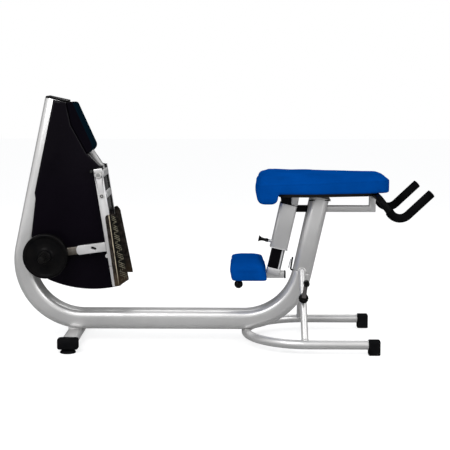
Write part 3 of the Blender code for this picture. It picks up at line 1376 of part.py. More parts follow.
def clamp_lever():
    centre = clamp_centre()
    out = Vector((0, -1, 0))
    base = Vector((centre.x, -CLAMP_BOSS_Y - GAP, CLAMP_Z))
    profile = [
        (0, CLAMP_HUB),
        (CLAMP_HUB_RADIUS - 0.004, CLAMP_HUB),
        (CLAMP_HUB_RADIUS, CLAMP_HUB - 0.004),
        (CLAMP_HUB_RADIUS, 0),
        (0, 0),
    ]
    hub = turned(profile, base, out)
    reach = Vector((0.011, 0, 0.0725)).normalized()
    across = Vector((reach.z, 0, -reach.x)) * CLAMP_ARM_DEPTH / 2
    start = base + reach * 0.004
    end = base + reach * (CLAMP_ARM + 0.004)
    tip = across * CLAMP_TAPER
    corners = [xz(start - across), xz(start + across), xz(end + tip), xz(end - tip)]
    arm = flat(rounded_corners(corners, CLAMP_ARM_CORNER), base.y - CLAMP_HUB + 0.001, CLAMP_ARM_THICKNESS)
    knob_base = base + reach * CLAMP_ARM + out * (CLAMP_HUB - 0.004)
    profile = [
        (0, CLAMP_KNOB),
        (CLAMP_KNOB_RADIUS - 0.004, CLAMP_KNOB),
        (CLAMP_KNOB_RADIUS, CLAMP_KNOB - 0.004),
        (CLAMP_KNOB_RADIUS, 0.004),
        (CLAMP_KNOB_RADIUS - 0.002, 0),
        (0, 0),
    ]
    knob = turned(profile, knob_base, out)
    boolean(hub, arm, "UNION")
    boolean(hub, knob, "UNION")
    part(hub, "clamp_lever", BLACK_PAINT)


def hook():
    stand = TUBE_DEPTH / 2 + HOOK_STAND_OFF
    points = [
        on_upright(HOOK_Z, -TUBE_DEPTH / 2 + 0.004),
        on_upright(HOOK_Z, -stand),
        on_upright(HOOK_Z, -stand - 0.004) + UP * HOOK_LENGTH,
    ]
    wire = round_tube(path_with_bends(points, 0.006, radians(20)), HOOK_RADIUS)
    part(cut(wire, frame_envelope(GAP)), "upright_hook", BLACK_PAINT)


main_frame()
feet()
floor_frame()
braces()
pivot_group()
pivot_arm()
casing()
front_cover()
lever("right", -1)
lever("left", 1)
bench()
torso_pad()
handlebar()
knee_sleeve()
knee_rest()
pull_pin()
clamp_lever()
hook()
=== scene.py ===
from math import atan2, ceil, cos, pi, radians, sin, tan

import bmesh
import bpy
from mathutils import Matrix, Vector


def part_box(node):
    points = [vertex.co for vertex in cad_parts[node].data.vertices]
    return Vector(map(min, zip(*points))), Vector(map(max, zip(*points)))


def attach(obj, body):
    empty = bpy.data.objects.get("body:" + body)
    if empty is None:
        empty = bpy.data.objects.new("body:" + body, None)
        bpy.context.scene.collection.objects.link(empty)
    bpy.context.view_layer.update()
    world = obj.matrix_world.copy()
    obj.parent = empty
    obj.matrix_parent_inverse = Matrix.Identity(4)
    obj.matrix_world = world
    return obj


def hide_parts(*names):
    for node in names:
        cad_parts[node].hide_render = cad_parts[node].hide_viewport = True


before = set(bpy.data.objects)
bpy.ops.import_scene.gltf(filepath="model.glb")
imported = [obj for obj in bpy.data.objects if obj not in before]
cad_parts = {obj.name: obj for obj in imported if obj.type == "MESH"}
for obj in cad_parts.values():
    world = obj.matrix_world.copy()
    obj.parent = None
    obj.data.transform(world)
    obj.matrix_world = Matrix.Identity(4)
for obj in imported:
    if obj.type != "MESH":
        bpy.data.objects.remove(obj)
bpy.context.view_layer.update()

# Camera: it stands at the machine's side, as high as a standing person's chest, five metres away. Its long
# lens shows the machine almost without perspective.
camera_data = bpy.data.cameras.new("camera")
camera_data.lens = 95.2
camera = bpy.data.objects.new("camera", camera_data)
camera.location = (0.128, -5.343, 1.250)
looks_along = Vector((-0.01834, 0.9909, -0.1333))
camera.rotation_euler = looks_along.to_track_quat("-Z", "Y").to_euler()
bpy.context.scene.collection.objects.link(camera)
bpy.context.scene.camera = camera
bpy.context.scene.view_settings.view_transform = "Standard"


# The room: a plain pale floor and a white surround, lit by three large soft boxes and a little light from
# all around. Metal and gloss see it graded, bright on the right and dark at the back, as in a real room.
def node(tree, kind, inputs=None, **settings):
    """Adds a shader node with its settings and its inputs, each a value or another node's output."""
    made = tree.nodes.new("ShaderNode" + kind)
    for name, value in settings.items():
        setattr(made, name, value)
    for name, value in (inputs or {}).items():
        if isinstance(value, bpy.types.NodeSocket):
            tree.links.new(value, made.inputs[name])
        else:
            made.inputs[name].default_value = value
    return made


def mixed(tree, share, first, second, blend="MIX"):
    """The second colour over the first by a share; each is a value or another node's output."""
    return node(tree, "Mix", {0: share, 6: first, 7: second}, data_type="RGBA", blend_type=blend).outputs[2]


def ranged(tree, value, low, high, to_low=0.0, to_high=1.0):
    """Maps a value's range from low to high on to another range."""
    limits = {"From Min": low, "From Max": high, "To Min": to_low, "To Max": to_high}
    return node(tree, "MapRange", {"Value": value, **limits}).outputs["Result"]


def maths(tree, operation, first, second, **settings):
    return node(tree, "Math", {0: first, 1: second}, operation=operation, **settings).outputs[0]


def noise(tree, place, scale, detail, **more):
    return node(tree, "TexNoise", {"Vector": place, "Scale": scale, "Detail": detail, **more}).outputs["Fac"]


def seen_directly(tree):
    """1 where the camera or a clear piece sees the surface, 0 for the light that it gives."""
    path = node(tree, "LightPath").outputs
    return maths(tree, "MAXIMUM", path["Is Camera Ray"], path["Is Transmission Ray"])


def seen_in_gloss(tree):
    return node(tree, "LightPath").outputs["Is Glossy Ray"]


def ramp(tree, value, *stops):
    """Grey levels along a value, as (place, level) stops."""
    made = node(tree, "ValToRGB", {"Fac": value})
    elements = made.color_ramp.elements
    elements.remove(elements[1])
    elements[0].position = stops[0][0]
    elements[0].color = (stops[0][1],) * 3 + (1,)
    for place, level in stops[1:]:
        elements.new(place).color = (level,) * 3 + (1,)
    return made.outputs["Color"]


def by_view(tree, light, gloss, direct):
    """One shader for the light given, another for what gloss sees, a third for what is seen directly."""
    either = node(tree, "MixShader", {0: seen_in_gloss(tree), 1: light.outputs[0], 2: gloss.outputs[0]})
    seen = {0: seen_directly(tree), 1: either.outputs[0], 2: direct.outputs[0]}
    return node(tree, "MixShader", seen).outputs[0]


AROUND = 0.62
IN_GLOSS = 1.45
surround = bpy.data.worlds.new("surround")
surround.use_nodes = True
tree = surround.node_tree
tree.nodes.clear()
white = node(tree, "Background", {"Color": (1, 1, 1, 1), "Strength": 1.0})
light = node(tree, "Background", {"Color": (0.97, 0.98, 1, 1), "Strength": AROUND})
way = node(tree, "SeparateXYZ", {"Vector": node(tree, "TexCoord").outputs["Generated"]}).outputs
across, upward, inward = (ranged(tree, way[axis], -1.0, 1.0) for axis in ("X", "Z", "Y"))
sideways = ramp(tree, across, (0.0, 0.62), (0.30, 0.66), (0.45, 0.60), (0.62, 0.60), (0.88, 1.0))
height = ramp(tree, upward, (0.25, 0.15), (0.42, 0.9), (0.75, 1.0))
behind = ramp(tree, inward, (0.50, 1.0), (0.62, 0.30), (0.80, 0.08))
level = mixed(tree, 1.0, mixed(tree, 1.0, sideways, height, "MULTIPLY"), behind, "MULTIPLY")
mirrored_room = node(tree, "Background", {"Color": level, "Strength": IN_GLOSS})
node(tree, "OutputWorld", {"Surface": by_view(tree, light, mirrored_room, white)})
bpy.context.scene.world = surround

floor_finish = bpy.data.materials.new("pale_floor")
floor_finish.use_nodes = True
tree = floor_finish.node_tree
tree.nodes.clear()
glow = node(tree, "Emission", {"Color": (1, 1, 1, 1), "Strength": 0.72})
shaded = node(tree, "BsdfDiffuse", {"Color": (0.42, 0.42, 0.42, 1)})
lit = node(tree, "AddShader", {0: glow.outputs[0], 1: shaded.outputs[0]})
plain = node(tree, "BsdfDiffuse", {"Color": (0.80, 0.80, 0.80, 1)})
dim = node(tree, "Emission", {"Color": (1, 1, 1, 1), "Strength": 0.20})
node(tree, "OutputMaterial", {"Surface": by_view(tree, plain, dim, lit)})
bm = bmesh.new()
bmesh.ops.create_grid(bm, x_segments=1, y_segments=1, size=15)
floor_mesh = bpy.data.meshes.new("floor")
bm.to_mesh(floor_mesh)
bm.free()
floor_mesh.materials.append(floor_finish)
floor = bpy.data.objects.new("floor", floor_mesh)
bpy.context.scene.collection.objects.link(floor)

for name, place, aim, size, power in (
    ("key_box", (-1.6, -3.0, 3.4), (0, 0, 0.5), 2.4, 95),
    ("fill_box", (2.6, -2.2, 2.6), (0, 0, 0.5), 2.0, 38),
    ("back_box", (0.2, 3.0, 3.0), (0, 0, 0.6), 2.2, 45),
):
    lamp_data = bpy.data.lights.new(name, "AREA")
    lamp_data.size = size
    lamp_data.energy = power
    lamp = bpy.data.objects.new(name, lamp_data)
    lamp.location = place
    lamp.rotation_euler = (Vector(aim) - Vector(place)).to_track_quat("-Z", "Y").to_euler()
    bpy.context.scene.collection.objects.link(lamp)


# Main frame: one rounded rectangular steel tube, bent at both ends, with the bench upright welded to it
# at a seam. It is sprayed silver over bare steel: a fine metallic flake under a slightly uneven lacquer.
def shader_group(name, inputs, outputs):
    """An empty effect with named inputs (kind, default) and outputs."""
    tree = bpy.data.node_groups.new(name, "ShaderNodeTree")
    for label, (kind, value) in inputs.items():
        socket = tree.interface.new_socket(label, in_out="INPUT", socket_type="NodeSocket" + kind)
        socket.default_value = value
    for label, kind in outputs.items():
        tree.interface.new_socket(label, in_out="OUTPUT", socket_type="NodeSocket" + kind)
    return tree, tree.nodes.new("NodeGroupInput"), tree.nodes.new("NodeGroupOutput")


def uneven_effect():
    """Patches of a second colour, roughness that wanders, and a fine bump in the surface."""
    tree, given, result = shader_group(
        "uneven_surface",
        {
            "Vector": ("Vector", (0, 0, 0)),
            "Colour": ("Color", (0.5, 0.5, 0.5, 1)),
            "Patch Colour": ("Color", (0.4, 0.4, 0.4, 1)),
            "Patch Scale": ("Float", 8.0),
            "Roughness": ("Float", 0.4),
            "Roughness Spread": ("Float", 0.1),
            "Bump Scale": ("Float", 600.0),
            "Bump Height": ("Float", 0.00005),
        },
        {"Colour": "Color", "Roughness": "Float", "Normal": "Vector"},
    )
    sockets = given.outputs
    place = sockets["Vector"]
    patches = ranged(tree, noise(tree, place, sockets["Patch Scale"], 5.0), 0.35, 0.68)
    colour = mixed(tree, patches, sockets["Colour"], sockets["Patch Colour"])
    centred = maths(tree, "SUBTRACT", noise(tree, place, 23.0, 6.0), 0.5)
    wander = maths(tree, "MULTIPLY", centred, sockets["Roughness Spread"])
    rough = maths(tree, "ADD", wander, sockets["Roughness"], use_clamp=True)
    fine = noise(tree, place, sockets["Bump Scale"], 3.0)
    raised = node(tree, "Bump", {"Height": fine, "Distance": sockets["Bump Height"], "Strength": 1.0})
    for label, output in (("Colour", colour), ("Roughness", rough), ("Normal", raised.outputs["Normal"])):
        tree.links.new(output, result.inputs[label])
    return tree


UNEVEN = uneven_effect()


def new_material(name, **shader_values):
    """A material with its shader's plain values set; returns it, its tree, shader and coordinates."""
    made = bpy.data.materials.new(name)
    made.use_nodes = True
    tree = made.node_tree
    shader = tree.nodes["Principled BSDF"]
    for label, value in shader_values.items():
        shader.inputs[label.replace("_", " ")].default_value = value
    place = node(tree, "TexCoord").outputs["Object"]
    return made, tree, shader, place


def uneven(tree, place, colour, patch, patch_scale, roughness, spread, bump_scale, bump_height):
    """Places the uneven surface effect in a material with its own values."""
    values = {"Vector": place, "Colour": (*colour, 1)}
    values |= {"Patch Colour": (*patch, 1), "Patch Scale": patch_scale}
    values |= {"Roughness": roughness, "Roughness Spread": spread}
    values |= {"Bump Scale": bump_scale, "Bump Height": bump_height}
    return node(tree, "Group", values, node_tree=UNEVEN).outputs


def wired(made, tree, shader, effect, **instead):
    """Links the effect's colour, roughness and normal to the shader, or what a finish has instead of them."""
    for label, socket in (("Colour", "Base Color"), ("Roughness", "Roughness"), ("Normal", "Normal")):
        tree.links.new(instead.get(label.lower(), effect[label]), shader.inputs[socket])
    return made


def plain_finish(name, *values, **shader_values):
    """A finish that needs only the uneven surface effect."""
    made, tree, shader, place = new_material(name, **shader_values)
    return wired(made, tree, shader, uneven(tree, place, *values))


def silver_lacquer(name, colour, patch, painted_inner_shade=False):
    """Silver spray paint: fine flakes under an uneven lacquer; faces turned inwards may be painted black as
    shade.
    """
    made, tree, shader, place = new_material(name, Metallic=0.55, Coat_Weight=0.25, Coat_Roughness=0.18)
    base = uneven(tree, place, colour, patch, 5.0, 0.33, 0.12, 260.0, 0.00004)
    flakes = node(tree, "TexVoronoi", {"Vector": place, "Scale": 2600.0}).outputs["Distance"]
    colour = mixed(tree, 1.0, base["Colour"], ranged(tree, flakes, 0.0, 0.6, 1.06, 0.93), "MULTIPLY")
    # Painted shade: faces turned in towards the middle plane are coloured near black and lose their coat.
    if painted_inner_shade:
        normal = node(tree, "NewGeometry").outputs["Normal"]
        sideways = (node(tree, "SeparateXYZ", {"Vector": vector}).outputs["Y"] for vector in (place, normal))
        painted_inner_shade_share = ranged(tree, maths(tree, "MULTIPLY", *sideways), -0.03, -0.06)
        colour = mixed(tree, painted_inner_shade_share, colour, (0.004, 0.004, 0.004, 1))
        tree.links.new(ranged(tree, painted_inner_shade_share, 0.0, 1.0, 0.25, 0.0), shader.inputs["Coat Weight"])
    return wired(made, tree, shader, base, colour=colour)


SILVER = silver_lacquer("silver_lacquer", (0.67, 0.665, 0.66), (0.61, 0.605, 0.60))


def finished(bm, name, body, material, stands_for=(), sharp=radians(32)):
    """The mesh as a piece of the machine: smooth except at its sharp edges, riding on its body."""
    mesh = bpy.data.meshes.new(name)
    bm.to_mesh(mesh)
    bm.free()
    mesh.shade_smooth()
    mesh.set_sharp_from_angle(angle=sharp)
    mesh.materials.append(material)
    piece = bpy.data.objects.new(name, mesh)
    bpy.context.scene.collection.objects.link(piece)
    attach(piece, body)
    if stands_for:
        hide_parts(*stands_for)
    return piece


ALONG_Y = Vector((0, 1, 0))
ALONG_Z = Vector((0, 0, 1))


def facing(direction, start, side=ALONG_Y):
    """The place of a section drawn flat at the origin: its Z along direction, its Y along side."""
    ahead = Vector(direction).normalized()
    across = side - ahead * side.dot(ahead)
    across.normalize()
    third = across.cross(ahead)
    turn = Matrix((third, across, ahead)).transposed().to_4x4()
    return Matrix.Translation(start) @ turn


def bevelled(bm, geom, offset, segments, affect="EDGES", clamp_overlap=True):
    """Bevels edges or corners round; every bevel of the machine is made here."""
    bmesh.ops.bevel(
        bm,
        geom=geom,
        offset=offset,
        segments=segments,
        profile=0.5,
        affect=affect,
        material=-1,
        clamp_overlap=clamp_overlap,
    )


def rectangle_ring(bm, depth, width, corner, place, segments=7):
    """A rectangle with its corners bevelled round, as a closed loop of edges."""
    verts = bmesh.ops.create_grid(bm, x_segments=1, y_segments=1, size=0.5)["verts"]
    bmesh.ops.scale(bm, vec=(depth, width, 1), verts=verts)
    bevelled(bm, verts, corner, segments, "VERTICES", False)
    bmesh.ops.delete(bm, geom=bm.faces[:], context="FACES_ONLY")
    bmesh.ops.transform(bm, matrix=place, verts=bm.verts)
    return bm.edges[:]


def round_ring(bm, radius, place, segments=32):
    bmesh.ops.create_circle(bm, cap_ends=False, radius=radius, segments=segments, matrix=place)
    return bm.edges[:]


def verts_in(geom):
    return [part for part in geom if isinstance(part, bmesh.types.BMVert)]


def edges_in(geom):
    return [part for part in geom if isinstance(part, bmesh.types.BMEdge)]


def verts_of(parts):
    """Every vertex of some edges or faces, once and always in the same order."""
    return list(dict.fromkeys(vert for part in parts for vert in part.verts))


def pushed(bm, edges, by):
    """Extrudes a loop of edges straight; returns the new loop."""
    grown = bmesh.ops.extrude_edge_only(bm, edges=edges)["geom"]
    bmesh.ops.translate(bm, vec=by, verts=verts_in(grown))
    return [edge for edge in edges_in(grown) if edge.is_boundary]


def swept(bm, edges, centre, axis, angle, steps):
    """Spins a loop of edges part of a turn; returns the last loop."""
    geom = verts_of(edges) + edges
    spun = bmesh.ops.spin(bm, geom=geom, cent=centre, axis=axis, angle=angle, steps=steps)
    return edges_in(spun["geom_last"])


def followed(bm, edges, corners, bend, chord=radians(3)):
    """Takes a loop of edges along the corners: straight legs are extruded and bends are spun."""
    corners = [Vector(corner) for corner in corners]
    here = corners[0]
    for before, corner, after in zip(corners, corners[1:], corners[2:]):
        way = (corner - before).normalized()
        onward = (after - corner).normalized()
        turn = way.angle(onward)
        reach = bend * tan(turn / 2)
        edges = pushed(bm, edges, corner - way * reach - here)
        axis = way.cross(onward).normalized()
        centre = corner - way * reach + axis.cross(way) * bend
        edges = swept(bm, edges, centre, axis, turn, max(3, ceil(turn / chord)))
        here = corner + onward * reach
    return pushed(bm, edges, corners[-1] - here)


def closed(bm):
    """Fills the open ends and turns every face outwards."""
    loose = [edge for edge in bm.edges if edge.is_boundary]
    bmesh.ops.holes_fill(bm, edges=loose, sides=0)
    bmesh.ops.recalc_face_normals(bm, faces=bm.faces)
    return bm


def softened(bm, width, segments=2, angle=radians(40)):
    """Rounds over every edge sharper than the angle."""
    sharp = [edge for edge in bm.edges if edge.is_manifold and edge.calc_face_angle() > angle]
    bevelled(bm, sharp, width, segments)
    return bm


def lifted(bm, faces, by):
    """Extrudes faces and moves them; returns the moved faces. Every face is turned outwards."""
    grown = bmesh.ops.extrude_face_region(bm, geom=faces)["geom"]
    bmesh.ops.translate(bm, vec=by, verts=verts_in(grown))
    moved = [part for part in grown if isinstance(part, bmesh.types.BMFace)]
    bmesh.ops.recalc_face_normals(bm, faces=bm.faces)
    return moved


def extruded(bm, faces):
    """Extrudes faces in place; returns the new ones."""
    grown = bmesh.ops.extrude_face_region(bm, geom=faces)["geom"]
    return [part for part in grown if isinstance(part, bmesh.types.BMFace)]


def plate(outline, y, thickness):
    """A flat plate from its outline in the XZ plane, from y to y + thickness."""
    bm = bmesh.new()
    face = bm.faces.new([bm.verts.new((x, y, z)) for x, z in outline])
    lifted(bm, [face], (0, thickness, 0))
    return bm


def joined(bm, *others):
    """Takes the other meshes into the first one."""
    for other in others:
        mesh = bpy.data.meshes.new("part")
        other.to_mesh(mesh)
        other.free()
        bm.from_mesh(mesh)
        bpy.data.meshes.remove(mesh)
    return bm


LEAN = radians(12.5)
UP = Vector((sin(LEAN), 0, cos(LEAN)))
AHEAD = Vector((cos(LEAN), 0, -sin(LEAN)))
TUBE_DEPTH = 0.085
TUBE_WIDTH = 0.120
TUBE_CORNER = 0.028
TUBE_BEND = 0.270
RUN_Z = 0.1005
TOWER_FOOT = Vector((-0.9499, 0, RUN_Z))
UPRIGHT_FOOT = Vector((0.3307, 0, RUN_Z))
TOWER_TOP_Z = 1.099
UPRIGHT_TOP_Z = 0.656
SEAM_UP = 0.2287
JOINT_LINE = 0.0012


def on_tower(z, ahead=0.0):
    return TOWER_FOOT + UP * (z - RUN_Z) / UP.z + AHEAD * ahead


def on_upright(z, ahead=0.0):
    return UPRIGHT_FOOT + UP * (z - RUN_Z) / UP.z + AHEAD * ahead


seam = UPRIGHT_FOOT + UP * SEAM_UP
bm = bmesh.new()
loop = rectangle_ring(bm, TUBE_DEPTH, TUBE_WIDTH, TUBE_CORNER, facing(-UP, on_tower(TOWER_TOP_Z)))
followed(bm, loop, [on_tower(TOWER_TOP_Z), TOWER_FOOT, UPRIGHT_FOOT, seam - UP * JOINT_LINE / 2], TUBE_BEND)
softened(closed(bm), 0.0008)
finished(bm, "bent_main_tube", "frame", SILVER, ["main_frame_tube"])

bm = bmesh.new()
loop = rectangle_ring(bm, TUBE_DEPTH, TUBE_WIDTH, TUBE_CORNER, facing(UP, seam + UP * JOINT_LINE / 2))
followed(bm, loop, [seam + UP * JOINT_LINE / 2, on_upright(UPRIGHT_TOP_Z)], TUBE_BEND)
softened(closed(bm), 0.0008)
finished(bm, "upright_tube", "frame", SILVER, ["bench_upright"])

# Plates over the two open tube ends, of 7 mm steel. The upright's is sprayed with the frame, and under its
# edge two slots are drawn as thin black plates, painted shade. The tower's is painted black and also covers
# the top of the casing.
END_PLATE = 0.007
FIT = 0.0003
SLOT_LOW = 0.6490
SLOT_TOP = 0.6535

BLACK_PAINT = plain_finish(
    "satin_black_paint", (0.0035, 0.0035, 0.004), (0.006, 0.0055, 0.0055), 18.0, 0.36, 0.16, 340.0, 0.00008,
    Specular_IOR_Level=0.015,
)

for name, middle, length, material, slot, node_name in (
    ("tower_end_plate", on_tower(TOWER_TOP_Z, 0.010), 0.096, BLACK_PAINT, "black_paint", "tower_top_plate"),
    ("upright_end_plate", on_upright(UPRIGHT_TOP_Z), 0.098, SILVER, "silver_paint", "head_flange"),
):
    bm = bmesh.new()
    loop = rectangle_ring(bm, length, TUBE_WIDTH, 0.006, facing(UP, middle + UP * FIT), segments=4)
    pushed(bm, loop, UP * END_PLATE)
    softened(closed(bm), 0.0015)
    finished(bm, name, "frame", material, [node_name])

# Painted shade: the slots' dark openings are thin black plates on the upright's near face.
for start, end in ((0.406, 0.431), (0.476, 0.498)):
    outline = [(start, SLOT_LOW), (end, SLOT_LOW), (end, SLOT_TOP), (start, SLOT_TOP)]
    bm = softened(plate(outline, -TUBE_WIDTH / 2 - 0.0006, 0.002), 0.0004)
    finished(bm, "end_plate_slot_painted_shade", "frame", BLACK_PAINT)


# Front foot: a flat-sided oval tube across the machine, in a welded saddle under the bend of the main
# tube. Each end has a moulded rubber cap, and under it a levelling foot of black rubber on a screw.
FOOT_X = -0.655
FOOT_DEPTH = 0.072
FOOT_HEIGHT = 0.036
FOOT_Z = 0.0397
FOOT_REACH = 0.275
LEVELLER_IN = 0.017


def black_rubber(name, colour, grain, grain_height, roughness=0.72):
    """Moulded rubber: charcoal black, a little dusty and dull in patches, with a fine grain."""
    grey = tuple(level * 1.9 + 0.001 for level in colour)
    return plain_finish(
        name, colour, grey, 14.0, roughness, 0.16, grain, grain_height, Specular_IOR_Level=0.003
    )


def spun_round(bm, geom, steps):
    """Spins an outline a full turn about Z and closes the shape."""
    bmesh.ops.spin(
        bm, geom=geom, cent=(0, 0, 0), axis=(0, 0, 1), angle=2 * pi, steps=steps, use_merge=True
    )
    bmesh.ops.remove_doubles(bm, verts=bm.verts, dist=1e-6)
    bmesh.ops.recalc_face_normals(bm, faces=bm.faces)


def stood(bm, base, axis):
    """Stands a piece that was drawn about Z on its base, along its own axis."""
    turn = ALONG_Z.rotation_difference(Vector(axis)).to_matrix().to_4x4()
    bmesh.ops.transform(bm, matrix=Matrix.Translation(base) @ turn, verts=bm.verts)
    return bm


def turned(profile, base, axis, steps=48):
    """A turned piece: (radius, height) points spun about an axis that stands on base."""
    bm = bmesh.new()
    verts = [bm.verts.new((radius, 0, height)) for radius, height in profile]
    spun_round(bm, verts + [bm.edges.new(pair) for pair in zip(verts, verts[1:])], steps)
    return stood(bm, base, axis)


def rounded_block(low, high, corner, edge, segments=4):
    """A moulded block: its upright corners rounded by corner, its top and bottom rims by edge."""
    low, high = Vector(low), Vector(high)
    bm = bmesh.new()
    size = high - low
    place = Matrix.Translation(((low.x + high.x) / 2, (low.y + high.y) / 2, low.z))
    loop = rectangle_ring(bm, size.x, size.y, corner, place, segments)
    pushed(bm, loop, Vector((0, 0, size.z)))
    closed(bm)
    return softened(bm, edge, segments=3, angle=radians(60))


RUBBER = black_rubber("black_rubber", (0.0045, 0.0045, 0.005), 900.0, 0.00012)
SIDES = ((-1, "right"), (1, "left"))

bm = bmesh.new()
place = facing(ALONG_Y, Vector((FOOT_X, -FOOT_REACH, FOOT_Z)), ALONG_Z)
loop = rectangle_ring(bm, FOOT_DEPTH, FOOT_HEIGHT, FOOT_HEIGHT / 2 - 0.0002, place, segments=9)
pushed(bm, loop, Vector((0, 2 * FOOT_REACH, 0)))
closed(bm)
saddle = plate(
    [(FOOT_X - 0.030, 0.045), (FOOT_X + 0.030, 0.045), (FOOT_X + 0.030, 0.0588), (FOOT_X - 0.030, 0.0665)],
    -0.040,
    0.080,
)
joined(bm, softened(saddle, 0.003))
finished(bm, "front_foot_tube", "frame", SILVER, ["cross_foot_tube"])

for side, side_name in SIDES:
    low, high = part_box("foot_cap_" + side_name)
    bm = rounded_block(low, high, 0.016, 0.007)
    finished(bm, "front_foot_cap_" + side_name, "frame", RUBBER, ["foot_cap_" + side_name])
    profile = [(0, 0.0165), (0.0065, 0.0165), (0.0065, 0.0125), (0.012, 0.0115), (0.028, 0.0100)]
    profile += [(0.0325, 0.0085), (0.0345, 0.0055), (0.035, 0.0030), (0.0345, 0.0008), (0.0335, 0), (0, 0)]
    bm = turned(profile, (FOOT_X, side * (FOOT_REACH - LEVELLER_IN), 0), ALONG_Z)
    node_name = "levelling_foot_" + side_name
    finished(bm, "screwed_foot_" + side_name, "frame", RUBBER, [node_name], radians(50))


# Rear floor frame: one round tube bent to a U, crossing under the main tube, with a block of rubber on
# each end, and two straight braces of thinner tube welded from it up to the sides of the upright.
FLOOR_RADIUS = 0.020
FLOOR_Z = 0.043
FLOOR_HALF = 0.275
FLOOR_ARC_X = 0.400
FLOOR_END_X = 0.695
BRACE_RADIUS = 0.015
BRACE_FOOT = Vector((0.383, FLOOR_HALF, FLOOR_Z))
BRACE_TOP_Z = 0.330
BOSS_RADIUS = 0.014
BOSS_Y = -0.172
BOSS_LENGTH = 0.035
CLAMP_Z = 0.231
WELD_RIPPLE = 0.12
WELD_RIPPLES = 14
WELD_THICKNESS = 0.0026


def weld_bead(centre, axis, radius, thickness, name):
    """A weld: a slightly rippled ring of metal round a joint, sprayed over with the frame."""
    bm = bmesh.new()
    ring = round_ring(bm, thickness, facing(ALONG_Y, Vector((radius, 0, 0)), ALONG_Z), segments=8)
    spun_round(bm, bm.verts[:] + ring, 56)
    for vert in bm.verts:
        angle = vert.co.xy.angle_signed(Vector((1, 0)), 0.0)
        flat = Vector((vert.co.x, vert.co.y, 0)).normalized() * radius
        vert.co = flat + (vert.co - flat) * (1 + WELD_RIPPLE * cos(angle * WELD_RIPPLES))
    return finished(stood(bm, centre, axis), name, "frame", SILVER)


bm = bmesh.new()
start = Vector((FLOOR_END_X, -FLOOR_HALF, FLOOR_Z))
loop = round_ring(bm, FLOOR_RADIUS, facing((-1, 0, 0), start), segments=36)
loop = pushed(bm, loop, Vector((FLOOR_ARC_X - FLOOR_END_X, 0, 0)))
loop = swept(bm, loop, (FLOOR_ARC_X, 0, FLOOR_Z), (0, 0, -1), pi, 64)
pushed(bm, loop, Vector((FLOOR_END_X - FLOOR_ARC_X, 0, 0)))
closed(bm)
finished(bm, "floor_tube", "frame", SILVER, ["floor_u_tube"])

for side, side_name in SIDES:
    node_name = "floor_tube_cap_" + side_name
    low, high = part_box(node_name)
    bm = rounded_block(low, high, 0.009, 0.005)
    finished(bm, "floor_end_block_" + side_name, "frame", RUBBER, [node_name])

    foot = Vector((BRACE_FOOT.x, side * BRACE_FOOT.y, BRACE_FOOT.z))
    top = on_upright(BRACE_TOP_Z, -0.006) + Vector((0, side * (TUBE_WIDTH / 2 - 0.002), 0))
    way = (top - foot).normalized()
    bm = bmesh.new()
    loop = round_ring(bm, BRACE_RADIUS, facing(way, foot))
    pushed(bm, loop, top - foot)
    closed(bm)
    if side < 0:
        middle = foot + (top - foot) * (CLAMP_Z - foot.z) / (top.z - foot.z)
        profile = [(0, BOSS_LENGTH), (BOSS_RADIUS - 0.001, BOSS_LENGTH)]
        profile += [(BOSS_RADIUS, BOSS_LENGTH - 0.001), (BOSS_RADIUS, 0)]
        joined(bm, turned(profile, (middle.x, BOSS_Y + BOSS_LENGTH, CLAMP_Z), -ALONG_Y))
    finished(bm, "brace_tube_" + side_name, "frame", SILVER, ["brace_" + side_name])
    joint = foot + way * (FLOOR_RADIUS + 0.0005)
    weld_bead(joint, way, BRACE_RADIUS + 0.0005, WELD_THICKNESS, "brace_foot_weld_" + side_name)
    joint = top - way * 0.004
    weld_bead(joint, (0, side, 0), BRACE_RADIUS + 0.002, WELD_THICKNESS, "brace_top_weld_" + side_name)


# Pivot: a steel tube across the front of the tower holds the axle that both kick levers hang on. It sits on
# a forged arm, and a second tube hangs under it on a web. The bushes are bronze, the axle's caps silver.
PIVOT = Vector((-0.529, 0, 0.7675))
LEVER_LEAN = radians(8.53)
LEVER_UP = Vector((-sin(LEVER_LEAN), 0, cos(LEVER_LEAN)))
LEVER_AHEAD = Vector((cos(LEVER_LEAN), 0, sin(LEVER_LEAN)))
BAR_DEPTH = 0.038
BAR_INNER_Y = 0.090
BAR_OUTER_Y = 0.110
AXLE_RADIUS = 0.010
GUIDE_DOWN = 0.095
STOP = PIVOT - LEVER_AHEAD * (BAR_DEPTH / 2 + 0.0103) + LEVER_UP * 0.020
STOP_RADIUS = 0.006
ARM_HALF = 0.0085

ZINC = plain_finish(
    "zinc_plate", (0.56, 0.56, 0.55), (0.44, 0.45, 0.44), 60.0, 0.30, 0.2, 700.0, 0.00003, Metallic=1.0
)


def steel_with_painted_groove_shade():
    """Zinc-plated steel whose sunk groove, 3.4 to 7.2 mm out, is painted near black as shade."""
    made, tree, shader, place = new_material("steel_with_painted_groove_shade", Metallic=0.75)
    base = uneven(tree, place, (0.74, 0.73, 0.72), (0.64, 0.63, 0.62), 60.0, 0.34, 0.2, 700.0, 0.00003)
    groove = node(tree, "Attribute", attribute_name="groove").outputs["Fac"]
    painted_groove_shade = mixed(tree, groove, base["Colour"], (0.02, 0.018, 0.014, 1))
    return wired(made, tree, shader, base, colour=painted_groove_shade)


CAP_STEEL = steel_with_painted_groove_shade()
DARK_STEEL = plain_finish(
    "oiled_black_steel", (0.010, 0.010, 0.011), (0.022, 0.020, 0.019), 60.0, 0.34, 0.18, 350.0, 0.00006,
    Specular_IOR_Level=0.3,
)
BRONZE = plain_finish(
    "turned_bronze", (0.42, 0.25, 0.10), (0.30, 0.17, 0.07), 90.0, 0.34, 0.2, 1200.0, 0.00003, Metallic=1.0
)


def on_lever(ahead, up, y=0.0):
    return PIVOT + LEVER_AHEAD * ahead + LEVER_UP * up + Vector((0, y, 0))


def beside_tower(z, across):
    return on_tower(z) + Vector((across, 0, 0))


def xz(point):
    return point.x, point.z


